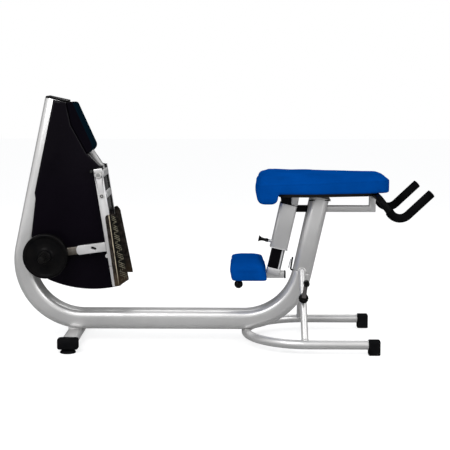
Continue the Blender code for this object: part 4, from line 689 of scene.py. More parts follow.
GUIDE = on_lever(0, -GUIDE_DOWN)
TUBE_RADIUS = 0.0225
GUIDE_HALF = 0.0847
profile = [(0.0165, 0.0882), (0.0210, 0.0882), (TUBE_RADIUS, 0.0867), (TUBE_RADIUS, -0.0867)]
profile += [(0.0210, -0.0882), (0.0165, -0.0882), (0.0165, 0.0882)]
bm = turned(profile, PIVOT, ALONG_Y, steps=56)
profile = [(0, GUIDE_HALF), (0.0210, GUIDE_HALF), (TUBE_RADIUS, GUIDE_HALF - 0.0015)]
profile += [(radius, -height) for radius, height in profile[::-1]]
corners = ((-0.005, -0.020), (0.005, -0.020), (0.005, -0.077), (-0.005, -0.077))
web = plate([xz(on_lever(*corner)) for corner in corners], -0.020, 0.040)
joined(bm, turned(profile, GUIDE, ALONG_Y, steps=56), web)
finished(bm, "pivot_and_guide_tubes", "frame", SILVER, ["pivot_housing"])

AXLE_END = 0.1196
profile = [(0, -AXLE_END), (AXLE_RADIUS - 0.0015, -AXLE_END), (AXLE_RADIUS, -AXLE_END + 0.0015)]
profile += [(AXLE_RADIUS, 0.1112), (0, 0.1112)]
finished(turned(profile, PIVOT, ALONG_Y), "pivot_axle_bar", "frame", ZINC, ["pivot_axle"])


def end_cap(place, out, radius, height, name, body, nodes=()):
    """A flat silver washer with a socket screw sunk in it; the groove round the screw is painted dark as
    shade.
    """
    sunk = height - 0.0020
    profile = [(0.0, height + 0.0008), (0.0030, height + 0.0008), (0.0034, height + 0.0004), (0.0034, sunk)]
    profile += [(0.0072, sunk), (0.0072, height), (radius - 0.0012, height), (radius, height - 0.0012)]
    profile += [(radius, 0.0), (0.0, 0.0)]
    bm = turned(profile, place, out, steps=40)
    # Marks the sunk groove, which the finish paints dark as shade.
    layer = bm.verts.layers.float.new("groove")
    for vert in bm.verts:
        if 0.0001 < (vert.co - place).dot(out) < height - 0.0014:
            vert[layer] = 1.0
    return finished(bm, name, body, CAP_STEEL, nodes)


for side, side_name in SIDES:
    profile = [(0.0103, 0), (0.0185, 0), (0.019, 0.0005), (0.019, 0.0013), (0.0185, 0.0015), (0.0145, 0.0015)]
    profile += [(0.0145, 0.0210), (0.0139, 0.0216), (0.0103, 0.0216), (0.0103, 0)]
    bm = turned(profile, (PIVOT.x, side * 0.0884, PIVOT.z), (0, side, 0))
    finished(bm, "flanged_bush_" + side_name, "frame", BRONZE, ["pivot_bush_" + side_name])
    profile = [(STOP_RADIUS, 0.0005), (0.0095, 0), (0.010, 0.0005), (0.010, 0.0195), (0.0095, 0.020)]
    profile += [(STOP_RADIUS, 0.0195), (STOP_RADIUS, 0.0005)]
    bm = turned(profile, (STOP.x, side * BAR_INNER_Y, STOP.z), (0, side, 0))
    finished(bm, "rubber_stop_" + side_name, "frame", RUBBER, ["stop_sleeve_" + side_name])
    nodes = ["axle_nut"] if side < 0 else []
    seat = Vector((PIVOT.x, side * 0.1115, PIVOT.z))
    end_cap(seat, side * ALONG_Y, 0.0150, 0.0072, "axle_cap_" + side_name, "frame", nodes)

profile = [(0, -0.113), (0.005, -0.113), (0.006, -0.112), (0.006, 0.112), (0.005, 0.113), (0, 0.113)]
finished(turned(profile, STOP, ALONG_Y), "stop_rod", "frame", DARK_STEEL, ["stop_bar"])

shoulder = beside_tower(TOWER_TOP_Z - 0.114, 0.0918)
elbow = PIVOT + Vector((-0.0452, 0, 0.1045))
foot = PIVOT + Vector((0.0071, 0, 0.027))
upper_side = ALONG_Y.cross(shoulder - elbow).normalized()
lower_side = ALONG_Y.cross(elbow - foot).normalized()
elbow_side = (upper_side + lower_side).normalized()
start = on_tower(TOWER_TOP_Z - 0.051, TUBE_DEPTH / 2 - ARM_HALF)
rise = Vector((0, 0, ARM_HALF * 1.3))
arm_outline = [
    start + rise,
    shoulder + upper_side * ARM_HALF,
    elbow + elbow_side * ARM_HALF,
    foot + lower_side * ARM_HALF,
    PIVOT + Vector((0.012, 0, 0)),
    PIVOT + Vector((-0.012, 0, -0.016)),
    STOP + Vector((-0.010, 0, -0.016)),
    STOP + Vector((-0.014, 0, TUBE_RADIUS)),
    elbow - elbow_side * ARM_HALF,
    shoulder - upper_side * ARM_HALF,
    start - rise,
]
bm = plate([xz(point) for point in arm_outline], -0.020, 0.040)
bends = [edge for edge in bm.edges if abs(edge.verts[0].co.y - edge.verts[1].co.y) > 0.03]
bevelled(bm, bends, 0.010, 4, clamp_overlap=False)
softened(bm, 0.002)
finished(bm, "forged_arm", "frame", SILVER, ["pivot_arm"])


# Tower casing: two deep moulded halves of gloss black plastic that close over the tower and the pivot,
# joined on the middle plane, with a wide rolled rim. The black cover above, painted dark blue-green on
# its front as a reflection, clips on to its front.
CASING_HALF = 0.084
CASING_ROLL = 0.020
BEHIND_BAR = 0.004
COVER_HALF = 0.0825


def gloss_plastic(name, colour, patch, roughness, specular):
    """Injection-moulded gloss plastic: smooth, in slow waves, with hairline scratches in places."""
    made, tree, shader, place = new_material(name, Specular_IOR_Level=specular)
    base = uneven(tree, place, colour, patch, 3.5, roughness, 0.06, 7.0, 0.0009)
    drawn = {"Vector": place, "Rotation": (0.0, 0.35, 0.0), "Scale": (900.0, 60.0, 9.0)}
    hairs = noise(tree, node(tree, "Mapping", drawn).outputs[0], 1.0, 2.0)
    zone = ranged(tree, noise(tree, place, 6.0, 3.0), 0.52, 0.66)
    scratched = maths(tree, "MULTIPLY", ranged(tree, hairs, 0.70, 0.78), zone)
    rough = maths(tree, "ADD", base["Roughness"], maths(tree, "MULTIPLY", scratched, 0.14))
    return wired(made, tree, shader, base, roughness=rough)


def black_cover_painted_reflection():
    """Black plastic with a painted reflection: the faces turned to the front are coloured dark blue-green."""
    made, tree, shader, place = new_material("black_cover_painted_reflection", Specular_IOR_Level=0.0)
    black, dusty = (0.0022, 0.0018, 0.0030), (0.0034, 0.0028, 0.0046)
    sides = uneven(tree, place, black, dusty, 3.5, 0.50, 0.10, 7.0, 0.0005)
    normal = node(tree, "NewGeometry").outputs["Normal"]
    # Painted reflection: faces turned forwards get a dark blue-green colour.
    front = ranged(tree, node(tree, "SeparateXYZ", {"Vector": normal}).outputs["X"], 0.30, 0.62)
    colour = mixed(tree, front, sides["Colour"], (0.0015, 0.0065, 0.0115, 1))
    return wired(made, tree, shader, sides, colour=colour)


CASING_BLACK = gloss_plastic(
    "gloss_black_casing", (0.0022, 0.0016, 0.0030), (0.0034, 0.0024, 0.0046), 0.14, 0.045
)
COVER_PAINTED_REFLECTION = black_cover_painted_reflection()


def arc_points(first, middle, last, steps):
    """Points on the circle through three points of the XZ plane, from the first to the last."""
    (ax, ay), (bx, by), (cx, cy) = first, middle, last
    double_area = 2 * (ax * (by - cy) + bx * (cy - ay) + cx * (ay - by))
    a2, b2, c2 = ax * ax + ay * ay, bx * bx + by * by, cx * cx + cy * cy
    centre = Vector(
        (
            (a2 * (by - cy) + b2 * (cy - ay) + c2 * (ay - by)) / double_area,
            (a2 * (cx - bx) + b2 * (ax - cx) + c2 * (bx - ax)) / double_area,
        )
    )
    spoke = Vector(first) - centre
    turn = -spoke.angle_signed(Vector(last) - centre)
    return [tuple(centre + Matrix.Rotation(turn * step / steps, 2) @ spoke) for step in range(steps + 1)]


def bar_front_x(z):
    return PIVOT.x + (PIVOT.z - z) * tan(LEVER_LEAN) + BAR_DEPTH / 2 / cos(LEVER_LEAN)


casing_chin = xz(PIVOT + Vector((-0.0545, 0, 0.0945)))
casing_brow = xz(beside_tower(TOWER_TOP_Z - 0.113, 0.1031))
casing_top = on_tower(TOWER_TOP_Z, 0.059) - UP * 0.001
back_edge = [on_tower(TOWER_TOP_Z) - UP * 0.001]
back_edge += [on_tower(0.684), on_tower(0.660, 0.009), on_tower(0.495, 0.024)]
outline = [xz(point) for point in back_edge]
heel = xz(beside_tower(0.292, 0.1399))
outline += arc_points(outline[-1], xz(beside_tower(0.385, 0.0708)), heel, 12)[1:]
outline += arc_points(heel, (PIVOT.x - 0.072, 0.250), (bar_front_x(0.265) - BEHIND_BAR, 0.265), 24)[1:]
step_z = PIVOT.z + 0.0368
outline += [(bar_front_x(step_z) - BEHIND_BAR, step_z), xz(PIVOT + Vector((-0.0007, 0, 0.0396)))]
outline += [casing_chin, casing_brow, xz(casing_top)]
for side, side_name in SIDES:
    bm = bmesh.new()
    face = bm.faces.new([bm.verts.new((x, side * CASING_HALF, z)) for x, z in outline])
    rim = list(face.edges)
    middle = pushed(bm, rim, Vector((0, side * (0.0002 - CASING_HALF), 0)))
    bevelled(bm, rim, CASING_ROLL, 7)
    bmesh.ops.recalc_face_normals(bm, faces=bm.faces)
    if sum(face.normal.y * face.calc_area() for face in bm.faces) * side < 0:
        bmesh.ops.reverse_faces(bm, faces=bm.faces)
    closed(bm)
    node_name = "casing_" + side_name
    finished(bm, "casing_half_" + side_name, "frame", CASING_BLACK, [node_name], radians(50))

cover_top = beside_tower(TOWER_TOP_Z - 0.0135, 0.0915)
cover_hip = PIVOT + Vector((-0.0235, 0, 0.1215))
cover_toe = PIVOT + Vector((-0.0437, 0, 0.0957))
outline = [
    xz(casing_top + Vector((0.002, 0, 0))),
    xz(cover_top),
    xz(cover_hip),
    xz(cover_toe + Vector((0.009, 0, 0.010))),
    xz(cover_toe),
    (casing_chin[0] + 0.001, casing_chin[1] + 0.001),
    (casing_brow[0] + 0.001, casing_brow[1]),
]
bm = plate(outline, -COVER_HALF, 2 * COVER_HALF)
for corner, rounding in ((cover_top, 0.009), (cover_hip, 0.013)):
    near = [
        edge for edge in bm.edges
        if all((Vector(xz(vert.co)) - Vector(xz(corner))).length < 0.008 for vert in edge.verts)
        and edge.calc_length() > COVER_HALF
    ]
    bevelled(bm, near, rounding, 5)
softened(bm, 0.0045, segments=4, angle=radians(30))
finished(bm, "clip_on_cover", "frame", COVER_PAINTED_REFLECTION, ["front_cover"], radians(40))


# Kick levers: a flat bar of rectangular tube each side, sprayed silver, that swings on the pivot. A bolt
# under the pivot holds a nylon disc, which guides the bar along the end of the tube under the pivot.
BAR_ABOVE = 0.032
BAR_BELOW = 0.506
BAR_CAP = 0.004
BOSS_ON_BAR = (-0.4942, 0.4054)
SEAM_ON_BAR = -0.4115
SEAM_WIDTH = 0.0014
UNDRAWN = Vector((0, 0, 0))

NYLON = plain_finish(
    "moulded_nylon", (0.006, 0.006, 0.0065), (0.010, 0.010, 0.0105), 30.0, 0.48, 0.15, 500.0, 0.00005,
    Specular_IOR_Level=0.08,
)
# Painted light and shade: the bars' silver is a lighter copy of the frame's, brighter for the light on them,
# and their inward faces are painted black as shade.
BAR_SILVER_PAINTED_LIGHT_AND_SHADE = silver_lacquer("bar_lacquer_painted_light_and_shade", (0.82, 0.81, 0.81), (0.76, 0.75, 0.75), painted_inner_shade=True)


def cut_plate(outline, holes, y, thickness):
    """A flat plate with holes; each is its centre in the XZ plane, its radius and how far it is drawn out."""
    bm = bmesh.new()
    verts = [bm.verts.new((x, y, z)) for x, z in outline]
    for pair in zip(verts, verts[1:] + verts[:1]):
        bm.edges.new(pair)
    for (x, z), radius, stretch in holes:
        middle = Vector((x, y, z))
        place = facing(ALONG_Y, middle, ALONG_Z)
        ring = bmesh.ops.create_circle(bm, cap_ends=False, radius=radius, segments=28, matrix=place)["verts"]
        for vert in ring:
            vert.co += stretch if (vert.co - middle).dot(stretch) > 0 else -stretch
    bmesh.ops.triangle_fill(bm, use_beauty=True, use_dissolve=False, edges=bm.edges[:])
    lifted(bm, bm.faces[:], (0, thickness, 0))
    return bm


# Weights: a strut behind each bar carries a steel horn, with a cast iron disc of 200 mm held on it by a
# collar. The strut's outer tube is sprayed silver. The inner bar that slides in it is coloured a dark
# brownish grey, painted shade where the disc shades the strut.
STRUT_BELOW = 0.322
STRUT_DEPTH = 0.040
HUB = on_lever(-0.285, -0.318)
HORN_RADIUS = 0.014
HORN_FLANGE = 0.019
DISC_RADIUS = 0.100
DISC_THICKNESS = 0.040
DISC_FROM = HORN_FLANGE + FIT
COLLAR_RADIUS = 0.025
COLLAR_LENGTH = 0.024

BLACK_IRON = plain_finish(
    "black_enamelled_iron", (0.0030, 0.0030, 0.0034), (0.0055, 0.005, 0.005),
    26.0, 0.22, 0.14, 420.0, 0.00012, Specular_IOR_Level=0.035,
)
# Painted shade: the strut's inner bar is coloured dark brownish grey for the disc's shadow across it.
STRUT_STEEL_PAINTED_SHADE = plain_finish(
    "strut_steel_painted_shade", (0.20, 0.185, 0.165), (0.12, 0.10, 0.08),
    45.0, 0.42, 0.2, 300.0, 0.00006, Metallic=0.8,
)
BLACK_STEEL = plain_finish(
    "blackened_steel", (0.004, 0.004, 0.0045), (0.008, 0.0075, 0.0065), 60.0, 0.34, 0.18, 350.0, 0.00006,
    Specular_IOR_Level=0.05,
)

OUTER_LENGTH = 0.133
INNER_HALF = 0.86
SLOT_AT = 0.055
NOSE = 0.012
BORE = 0.0143

strut_start = on_lever(-BAR_DEPTH / 2 - FIT, -STRUT_BELOW)
strut_way = (HUB - strut_start).normalized()
strut_across = Vector((-strut_way.z, 0, strut_way.x)) * STRUT_DEPTH / 2
strut_length = (HUB - strut_start).length
slot_drawn = (strut_way * 0.90 - strut_across.normalized() * 0.43) * 0.0070


def across_bar(low, high, proud=0.0):
    """The bar's outline between two heights on it, proud of its front and back edge."""
    corners = ((-1, low), (1, low), (1, high), (-1, high))
    return [xz(on_lever(ahead * (BAR_DEPTH / 2 + proud), up)) for ahead, up in corners]


def along_strut(distance, across=0.0):
    """A point of the strut's middle plane, measured from the bar and in shares of its half depth."""
    return strut_start + strut_way * distance + strut_across * across


for side, side_name in SIDES:
    body = side_name + "_lever"
    out = side * ALONG_Y
    y0 = min(side * BAR_INNER_Y, side * BAR_OUTER_Y)
    thickness = BAR_OUTER_Y - BAR_INNER_Y

    bar_top = BAR_ABOVE - BAR_CAP
    bores = [(xz(PIVOT), 0.0146, UNDRAWN), (xz(GUIDE), 0.0055, UNDRAWN)]
    bm = cut_plate(across_bar(-BAR_BELOW, bar_top), bores, y0, thickness)
    softened(bm, 0.0045, segments=4)
    finished(bm, side_name + "_bar", body, BAR_SILVER_PAINTED_LIGHT_AND_SHADE, [side_name + "_lever_bar"])
    bm = plate(across_bar(bar_top - 0.001, BAR_ABOVE, -0.0001), y0 + 0.0001, thickness - 0.0002)
    softened(bm, 0.0016, segments=3)
    finished(bm, side_name + "_bar_plug", body, NYLON)
    boss = [(0, 0.0022), (0.0080, 0.0022), (0.0090, 0.0012), (0.0090, -0.0160), (0, -0.0160)]
    bm = turned(boss, (BOSS_ON_BAR[0], side * BAR_OUTER_Y, BOSS_ON_BAR[1]), out)
    finished(bm, side_name + "_bar_boss", body, BAR_SILVER_PAINTED_LIGHT_AND_SHADE)
    seam_outline = across_bar(SEAM_ON_BAR, SEAM_ON_BAR + SEAM_WIDTH, 0.0002)
    bm = plate(seam_outline, y0 - 0.0002, thickness + 0.0004)
    finished(bm, side_name + "_bar_seam", body, NYLON)

    profile = [(0, -0.005), (0.0170, -0.005), (0.018, -0.004), (0.018, -0.0013), (0.017, -0.0003)]
    profile += [(0.005, -0.0003), (0.005, 0.0202), (0, 0.0202)]
    bm = turned(profile, (GUIDE.x, side * BAR_INNER_Y, GUIDE.z), out)
    finished(bm, side_name + "_guide_disc", body, NYLON, [side_name + "_guide_bolt"])
    seat = Vector((GUIDE.x, side * (BAR_OUTER_Y + FIT), GUIDE.z))
    end_cap(seat, out, 0.0115, 0.0042, side_name + "_guide_cap", body)

    outline = [xz(strut_start - LEVER_UP * STRUT_DEPTH / 2), xz(strut_start + LEVER_UP * STRUT_DEPTH / 2)]
    for angle in range(90, -91, -15):
        ahead, beside = cos(radians(angle)), sin(radians(angle))
        outline.append(xz(along_strut(OUTER_LENGTH - NOSE * (1 - ahead), -beside)))
    slot = along_strut(SLOT_AT, -0.05)
    bm = cut_plate(outline, [(xz(slot), 0.0054, slot_drawn)], y0, thickness)
    softened(bm, 0.0082, segments=5)
    finished(bm, side_name + "_strut_tube", body, BAR_SILVER_PAINTED_LIGHT_AND_SHADE)

    start, end = OUTER_LENGTH - 0.008, strut_length + 0.034
    corners = ((start, -INNER_HALF), (start, INNER_HALF), (end, INNER_HALF), (end, -INNER_HALF))
    bm = plate([xz(along_strut(*corner)) for corner in corners], y0 + 0.0015, thickness - 0.003)
    softened(bm, 0.003, segments=3)
    finished(bm, side_name + "_strut_bar", body, STRUT_STEEL_PAINTED_SHADE, [side_name + "_weight_strut"])

    base = (HUB.x, side * BAR_OUTER_Y, HUB.z)
    horn_end = DISC_FROM + DISC_THICKNESS + 0.100
    profile = [(0, horn_end), (0.0115, horn_end), (0.0132, horn_end - 0.0008)]
    profile += [(HORN_RADIUS, horn_end - 0.003), (HORN_RADIUS, HORN_FLANGE), (0.031, HORN_FLANGE)]
    profile += [(0.034, HORN_FLANGE - 0.003), (0.034, 0.0023), (0.032, FIT), (0, FIT)]
    bm = turned(profile, base, out)
    finished(bm, side_name + "_horn", body, BLACK_STEEL, [side_name + "_weight_horn"])

    far = DISC_FROM + DISC_THICKNESS
    profile = [(BORE, far), (0.0300, far), (0.0340, far - 0.0010), (0.0370, far - 0.0050)]
    profile += [(0.0400, far - 0.0060), (0.0800, far - 0.0060), (0.0830, far - 0.0052)]
    profile += [(0.0860, far - 0.0012), (0.0880, far), (0.0915, far), (0.0922, far - 0.0012)]
    profile += [(0.0932, far - 0.0012), (0.0940, far - 0.0002), (0.0965, far - 0.0010)]
    profile += [(0.0990, far - 0.0032), (DISC_RADIUS, far - 0.0065), (DISC_RADIUS, DISC_FROM + 0.0065)]
    profile += [(0.0990, DISC_FROM + 0.0032), (0.0965, DISC_FROM + 0.0010), (0.0930, DISC_FROM)]
    profile += [(BORE, DISC_FROM), (BORE, far)]
    bm = turned(profile, base, out, steps=96)
    node_name = side_name + "_weight_disc"
    finished(bm, side_name + "_disc", body, BLACK_IRON, [node_name], radians(40))

    start = far + FIT
    stop = start + COLLAR_LENGTH
    profile = [(BORE, stop), (0.0235, stop), (COLLAR_RADIUS, stop - 0.0015), (COLLAR_RADIUS, start + 0.0165)]
    profile += [(0.0238, start + 0.0155), (0.0238, start + 0.0085), (COLLAR_RADIUS, start + 0.0075)]
    profile += [(COLLAR_RADIUS, start + 0.0015), (0.0235, start), (BORE, start), (BORE, stop)]
    bm = turned(profile, base, out)
    finished(bm, side_name + "_collar", body, BLACK_STEEL, [side_name + "_weight_collar"])


# Foot plates: folded from 2.5 mm sheet, with a flange turned back along the outer edge and a web back to
# the bar. The brown-black paint is worn to bare metal along the outer fold, and dirty at the lower end.
PLATE_LEAN = radians(10.9)
PLATE_TURN = radians(14.3)
PLATE_HEIGHT = 0.302
PLATE_TOP_WIDTH = 0.081
PLATE_BOTTOM_WIDTH = 0.132
PLATE_FLANGE = 0.020
PLATE_THICKNESS = 0.0025
FOLD_RADIUS = 0.004
WORN_WIDTH = 0.0062
SOIL_FROM = 0.37
SOIL_FULL = 0.30


def soiled(tree, place, colour, most, dirt):
    """Covers a colour with dirt towards the lower end of the foot plate."""
    height = node(tree, "SeparateXYZ", {"Vector": place}).outputs["Z"]
    return mixed(tree, ranged(tree, height, SOIL_FROM, SOIL_FULL, 0.0, most), colour, dirt)


def worn_paint():
    """Brown-black paint on steel, dusty in patches, rubbed through where the edge attribute says."""
    made, tree, shader, place = new_material("worn_brown_black_paint", Specular_IOR_Level=0.012)
    brown, dusty = (0.006, 0.005, 0.0045), (0.040, 0.033, 0.028)
    base = uneven(tree, place, brown, dusty, 55.0, 0.46, 0.25, 260.0, 0.00025)
    edge = node(tree, "Attribute", attribute_name="edge").outputs["Fac"]
    chips = noise(tree, place, 38.0, 6.0, Roughness=0.7)
    bare = ranged(tree, maths(tree, "ADD", edge, chips), 0.98, 1.12)
    rubbed = mixed(tree, bare, base["Colour"], (0.42, 0.37, 0.28, 1))
    tree.links.new(bare, shader.inputs["Metallic"])
    colour = soiled(tree, place, rubbed, 0.75, (0.048, 0.033, 0.020, 1))
    return wired(made, tree, shader, base, colour=colour)


WORN_PAINT = worn_paint()


def plate_frame(side):
    """The foot plate's inner top corner, and its directions down, outwards and back."""
    down = Vector((sin(PLATE_LEAN), 0, -cos(PLATE_LEAN)))
    out = Vector((-sin(PLATE_TURN), side * cos(PLATE_TURN), 0))
    normal = down.cross(out).normalized() * side
    corner = on_lever(BAR_DEPTH / 2 + 0.027, -0.183, side * (BAR_INNER_Y + 0.002))
    return corner, down, out, -normal


def marked_edges(bm, attribute, folds, near):
    """Writes how close each vertex is to one of the lines, from 1 on it to 0 at the distance near."""
    layer = bm.verts.layers.float.new(attribute)
    for vert in bm.verts:
        away = near
        for start, end in folds:
            way = (end - start).normalized()
            offset = vert.co - start
            away = min(away, (offset - way * offset.dot(way)).length)
        vert[layer] = 1 - away / near
    return bm


for side, side_name in SIDES:
    corner, down, out, back = plate_frame(side)
    top_out = corner + out * PLATE_TOP_WIDTH - down * 0.005
    low_in = corner + down * PLATE_HEIGHT
    low_out = low_in + out * PLATE_BOTTOM_WIDTH + down * 0.007
    bm = bmesh.new()
    rows = []
    for inner, outer in ((corner, top_out), (low_in, low_out)):
        to_bar = Vector((bar_front_x(inner.z) + FIT, inner.y, inner.z))
        rows.append([bm.verts.new(point) for point in (to_bar, inner, outer, outer + back * PLATE_FLANGE)])
    sheet = [
        bm.faces.new((rows[0][at], rows[0][at + 1], rows[1][at + 1], rows[1][at])) for at in range(3)
    ]
    bmesh.ops.recalc_face_normals(bm, faces=bm.faces)
    if sheet[1].normal.dot(back) > 0:
        bmesh.ops.reverse_faces(bm, faces=bm.faces)
    folds = [bm.edges.get((rows[0][at], rows[1][at])) for at in (1, 2)]
    bevelled(bm, folds, FOLD_RADIUS, 5, clamp_overlap=False)
    for outer_corner, rounding in ((low_out, 0.006), (top_out, 0.013)):
        flange_corner = outer_corner + back * PLATE_FLANGE
        near = [vert for vert in bm.verts if (vert.co - flange_corner).length < 0.001]
        bevelled(bm, near, rounding, 4, "VERTICES", False)
    bmesh.ops.solidify(bm, geom=bm.faces[:], thickness=PLATE_THICKNESS)
    bmesh.ops.recalc_face_normals(bm, faces=bm.faces)
    long_edges = [edge for edge in bm.edges if edge.calc_length() > 0.03]
    bmesh.ops.subdivide_edges(bm, edges=long_edges, cuts=24, use_grid_fill=True)
    marked_edges(bm, "edge", [(top_out, low_out)], WORN_WIDTH)
    node_name = side_name + "_foot_plate"
    body = side_name + "_lever"
    finished(bm, side_name + "_folded_plate", body, WORN_PAINT, [node_name])


# Treads: a rubber mat glued on each foot plate. Across it run raised bars, three long ones to a cell and
# three short ones that lean the other way. Their tops are lighter grey in patches, part scuff and part
# painted highlight, and dust lies between them.
TREAD_BASE = 0.0014
RIB_HEIGHT = 0.0015
RIB_WIDTH = 0.0036
RIB_PITCH = 0.0080
GROUP_PITCH = 0.038
SHORT_RIB = 0.022
RIB_TILT = radians(18)
RIBS_IN_CELL = 3
MARGIN = 0.005


def tread_rubber_scuff_and_highlight():
    """Black tread rubber: the tops of its bars are painted lighter grey in patches, part scuff and part
    painted highlight; the ground between them holds brown dust.
    """
    made, tree, shader, place = new_material("tread_rubber_scuff_and_painted_highlight", Specular_IOR_Level=0.004)
    black, dusty = (0.004, 0.0038, 0.0035), (0.010, 0.009, 0.007)
    base = uneven(tree, place, black, dusty, 24.0, 0.55, 0.2, 700.0, 0.00012)
    top = node(tree, "Attribute", attribute_name="top").outputs["Fac"]
    # Painted highlight with scuff: the bars' tops are lightened in patches.
    rib_scuff_and_highlight_share = maths(tree, "MULTIPLY", top, noise(tree, place, 95.0, 5.0))
    rib_scuff_and_painted_highlight = mixed(tree, ranged(tree, rib_scuff_and_highlight_share, 0.28, 0.50, 0.0, 0.95), base["Colour"], (0.27, 0.25, 0.18, 1))
    colour = soiled(tree, place, rib_scuff_and_painted_highlight, 0.7, (0.055, 0.037, 0.022, 1))
    return wired(made, tree, shader, base, colour=colour)


TREAD_RUBBER_SCUFF_AND_HIGHLIGHT = tread_rubber_scuff_and_highlight()

for side, side_name in SIDES:
    corner, down, out, back = plate_frame(side)
    widen = (PLATE_BOTTOM_WIDTH - PLATE_TOP_WIDTH) / PLATE_HEIGHT
    span = PLATE_HEIGHT - 2 * MARGIN
    first = corner + down * MARGIN + out * MARGIN - back * FIT
    wide_top = PLATE_TOP_WIDTH + widen * MARGIN - 2 * MARGIN
    wide_low = wide_top + widen * span
    bm = bmesh.new()
    outline = [first, first + out * wide_top, first + down * span + out * wide_low, first + down * span]
    face = bm.faces.new([bm.verts.new(point) for point in outline])
    lifted(bm, [face], -back * TREAD_BASE)
    softened(bm, 0.0005)
    top_layer = bm.verts.layers.float.new("top")
    groups = int(span / GROUP_PITCH)
    for cell, rib in ((cell, rib) for cell in range(groups) for rib in range(RIBS_IN_CELL)):
        at_down = (cell + 0.32 + (rib - 1) * RIB_PITCH / GROUP_PITCH) * span / groups
        reach = wide_top + widen * at_down
        for tilt, length, across, lower in (
            (RIB_TILT, 0.88 * reach / cos(RIB_TILT), 0.5, 0.0),
            (-RIB_TILT * 1.5, SHORT_RIB, 0.26 + 0.24 * rib, GROUP_PITCH * 0.48 - (rib - 1) * RIB_PITCH),
        ):
            way = (-out * cos(tilt) + down * sin(tilt)).normalized()
            beside = (down * cos(tilt) + out * sin(tilt)).normalized()
            middle = first + down * (at_down + lower) + out * reach * across
            middle -= back * (TREAD_BASE + RIB_HEIGHT / 2)
            turn = Matrix((way, beside, -back)).transposed().to_4x4()
            size = Matrix.Diagonal((length / 2, RIB_WIDTH / 2, 1, 1))
            made = bmesh.ops.create_cone(
                bm, cap_ends=True, segments=6, radius1=1.0, radius2=0.86, depth=RIB_HEIGHT,
                matrix=Matrix.Translation(middle) @ turn @ size,
            )["verts"]
            for vert in made:
                if (vert.co - middle).dot(-back) > 0:
                    vert[top_layer] = 1.0
    node_name = side_name + "_tread_mat"
    finished(bm, side_name + "_tread", side_name + "_lever", TREAD_RUBBER_SCUFF_AND_HIGHLIGHT, [node_name])


# Bench frame: a rail from the upright, turned up at its end into a short post, with a strip of steel under
# the board. The rail is sprayed with the frame, the board above it is plywood stained black.
RAIL_LOW = 0.594
RAIL_TOP = 0.621
POST_FRONT = 0.707
POST_BACK = 0.679
STRIP_START = 0.505
STRIP_LOW = 0.6667
STRIP_END = 0.689
BOARD_LOW = 0.675
BOARD_TOP = 0.690
PAD_START = 0.169
PAD_END = 0.760
PAD_HALF = 0.200
PAD_HEAD_HALF = 0.130
PAD_TAPER_FROM = 0.420
ROLL_END = 0.264
RAIL_HALF = 0.020
HANDLE = Vector((0.706, 0.220, 0.672))
HANDLE_RADIUS = 0.015


def upright_face(z, side):
    """X of the upright's front (1) or back (-1) face at a height."""
    return on_upright(z).x + side * (TUBE_DEPTH / 2 / cos(LEAN) + FIT)


def stained_plywood():
    """Black-stained plywood: the grain runs along X, and its plies show as fine brown lines on the edges."""
    made, tree, shader, place = new_material("stained_plywood", Specular_IOR_Level=0.12)
    base = uneven(tree, place, (0.010, 0.009, 0.009), (0.020, 0.017, 0.015), 12.0, 0.70, 0.15, 400.0, 0.0001)
    along = node(tree, "Mapping", {"Vector": place, "Scale": (6.0, 90.0, 560.0)}).outputs[0]
    lines = ranged(tree, noise(tree, along, 1.0, 4.0), 0.52, 0.70, 0.0, 0.6)
    grained = mixed(tree, lines, base["Colour"], (0.040, 0.028, 0.019, 1))
    return wired(made, tree, shader, base, colour=grained)


PLYWOOD = stained_plywood()


def tapered_plan(inset, start_x, end_x, z, corner, waist):
    """The pad's plan as a flat face: parallel at first, then narrower, its corners rounded."""
    taper = (PAD_HALF - PAD_HEAD_HALF) / (PAD_END - PAD_TAPER_FROM)
    wide = PAD_HALF - inset
    head = wide - taper * (end_x - PAD_TAPER_FROM)
    half = [(start_x, wide), (PAD_TAPER_FROM, wide), (end_x, head)]
    bm = bmesh.new()
    verts = [bm.verts.new((x, y, z)) for x, y in half + [(x, -y) for x, y in reversed(half)]]
    bm.faces.new(verts)
    ends = [vert for vert in verts if vert.co.x != PAD_TAPER_FROM]
    for group, offset in ((ends, corner), ([vert for vert in verts if vert not in ends], waist)):
        bevelled(bm, group, offset, 6, "VERTICES", False)
    return bm


outline = [
    (upright_face(RAIL_LOW, 1), RAIL_LOW),
    (POST_FRONT, RAIL_LOW),
    (POST_FRONT, HANDLE.z - HANDLE_RADIUS),
    (STRIP_END, HANDLE.z - HANDLE_RADIUS / 2),
    (STRIP_END, BOARD_LOW - FIT),
    (STRIP_START, BOARD_LOW - FIT),
    (STRIP_START, STRIP_LOW),
    (POST_BACK, STRIP_LOW),
    (POST_BACK, RAIL_TOP),
    (upright_face(RAIL_TOP, 1), RAIL_TOP),
]
bm = plate(outline, -RAIL_HALF, 2 * RAIL_HALF)
softened(bm, 0.0025, segments=3)
finished(bm, "bench_rail_tube", "frame", SILVER, ["bench_rail"])

bm = tapered_plan(0.035, ROLL_END + 0.004, STRIP_END, BOARD_LOW, 0.030, 0.010)
lifted(bm, bm.faces[:], (0, 0, BOARD_TOP - BOARD_LOW))
softened(bm, 0.0015, angle=radians(60))
finished(bm, "pad_plywood", "frame", PLYWOOD, ["pad_board"])


# Bench pad: foam under blue vinyl, tight over a crowned top, with a welted seam round it and a thick roll
# at the foot end. The vinyl has a leather grain, shallow wrinkles and slightly rubbed patches.
PAD_LOW = 0.6903
SEAM_Z = (0.728, 0.746)
CROWN_Z = (0.774, 0.765)
ROLL_LOW = 0.642
ROLL_RADIUS = 0.028
VOXEL = 0.006
UNDER_COVER = 0.002
SETTLED = 20


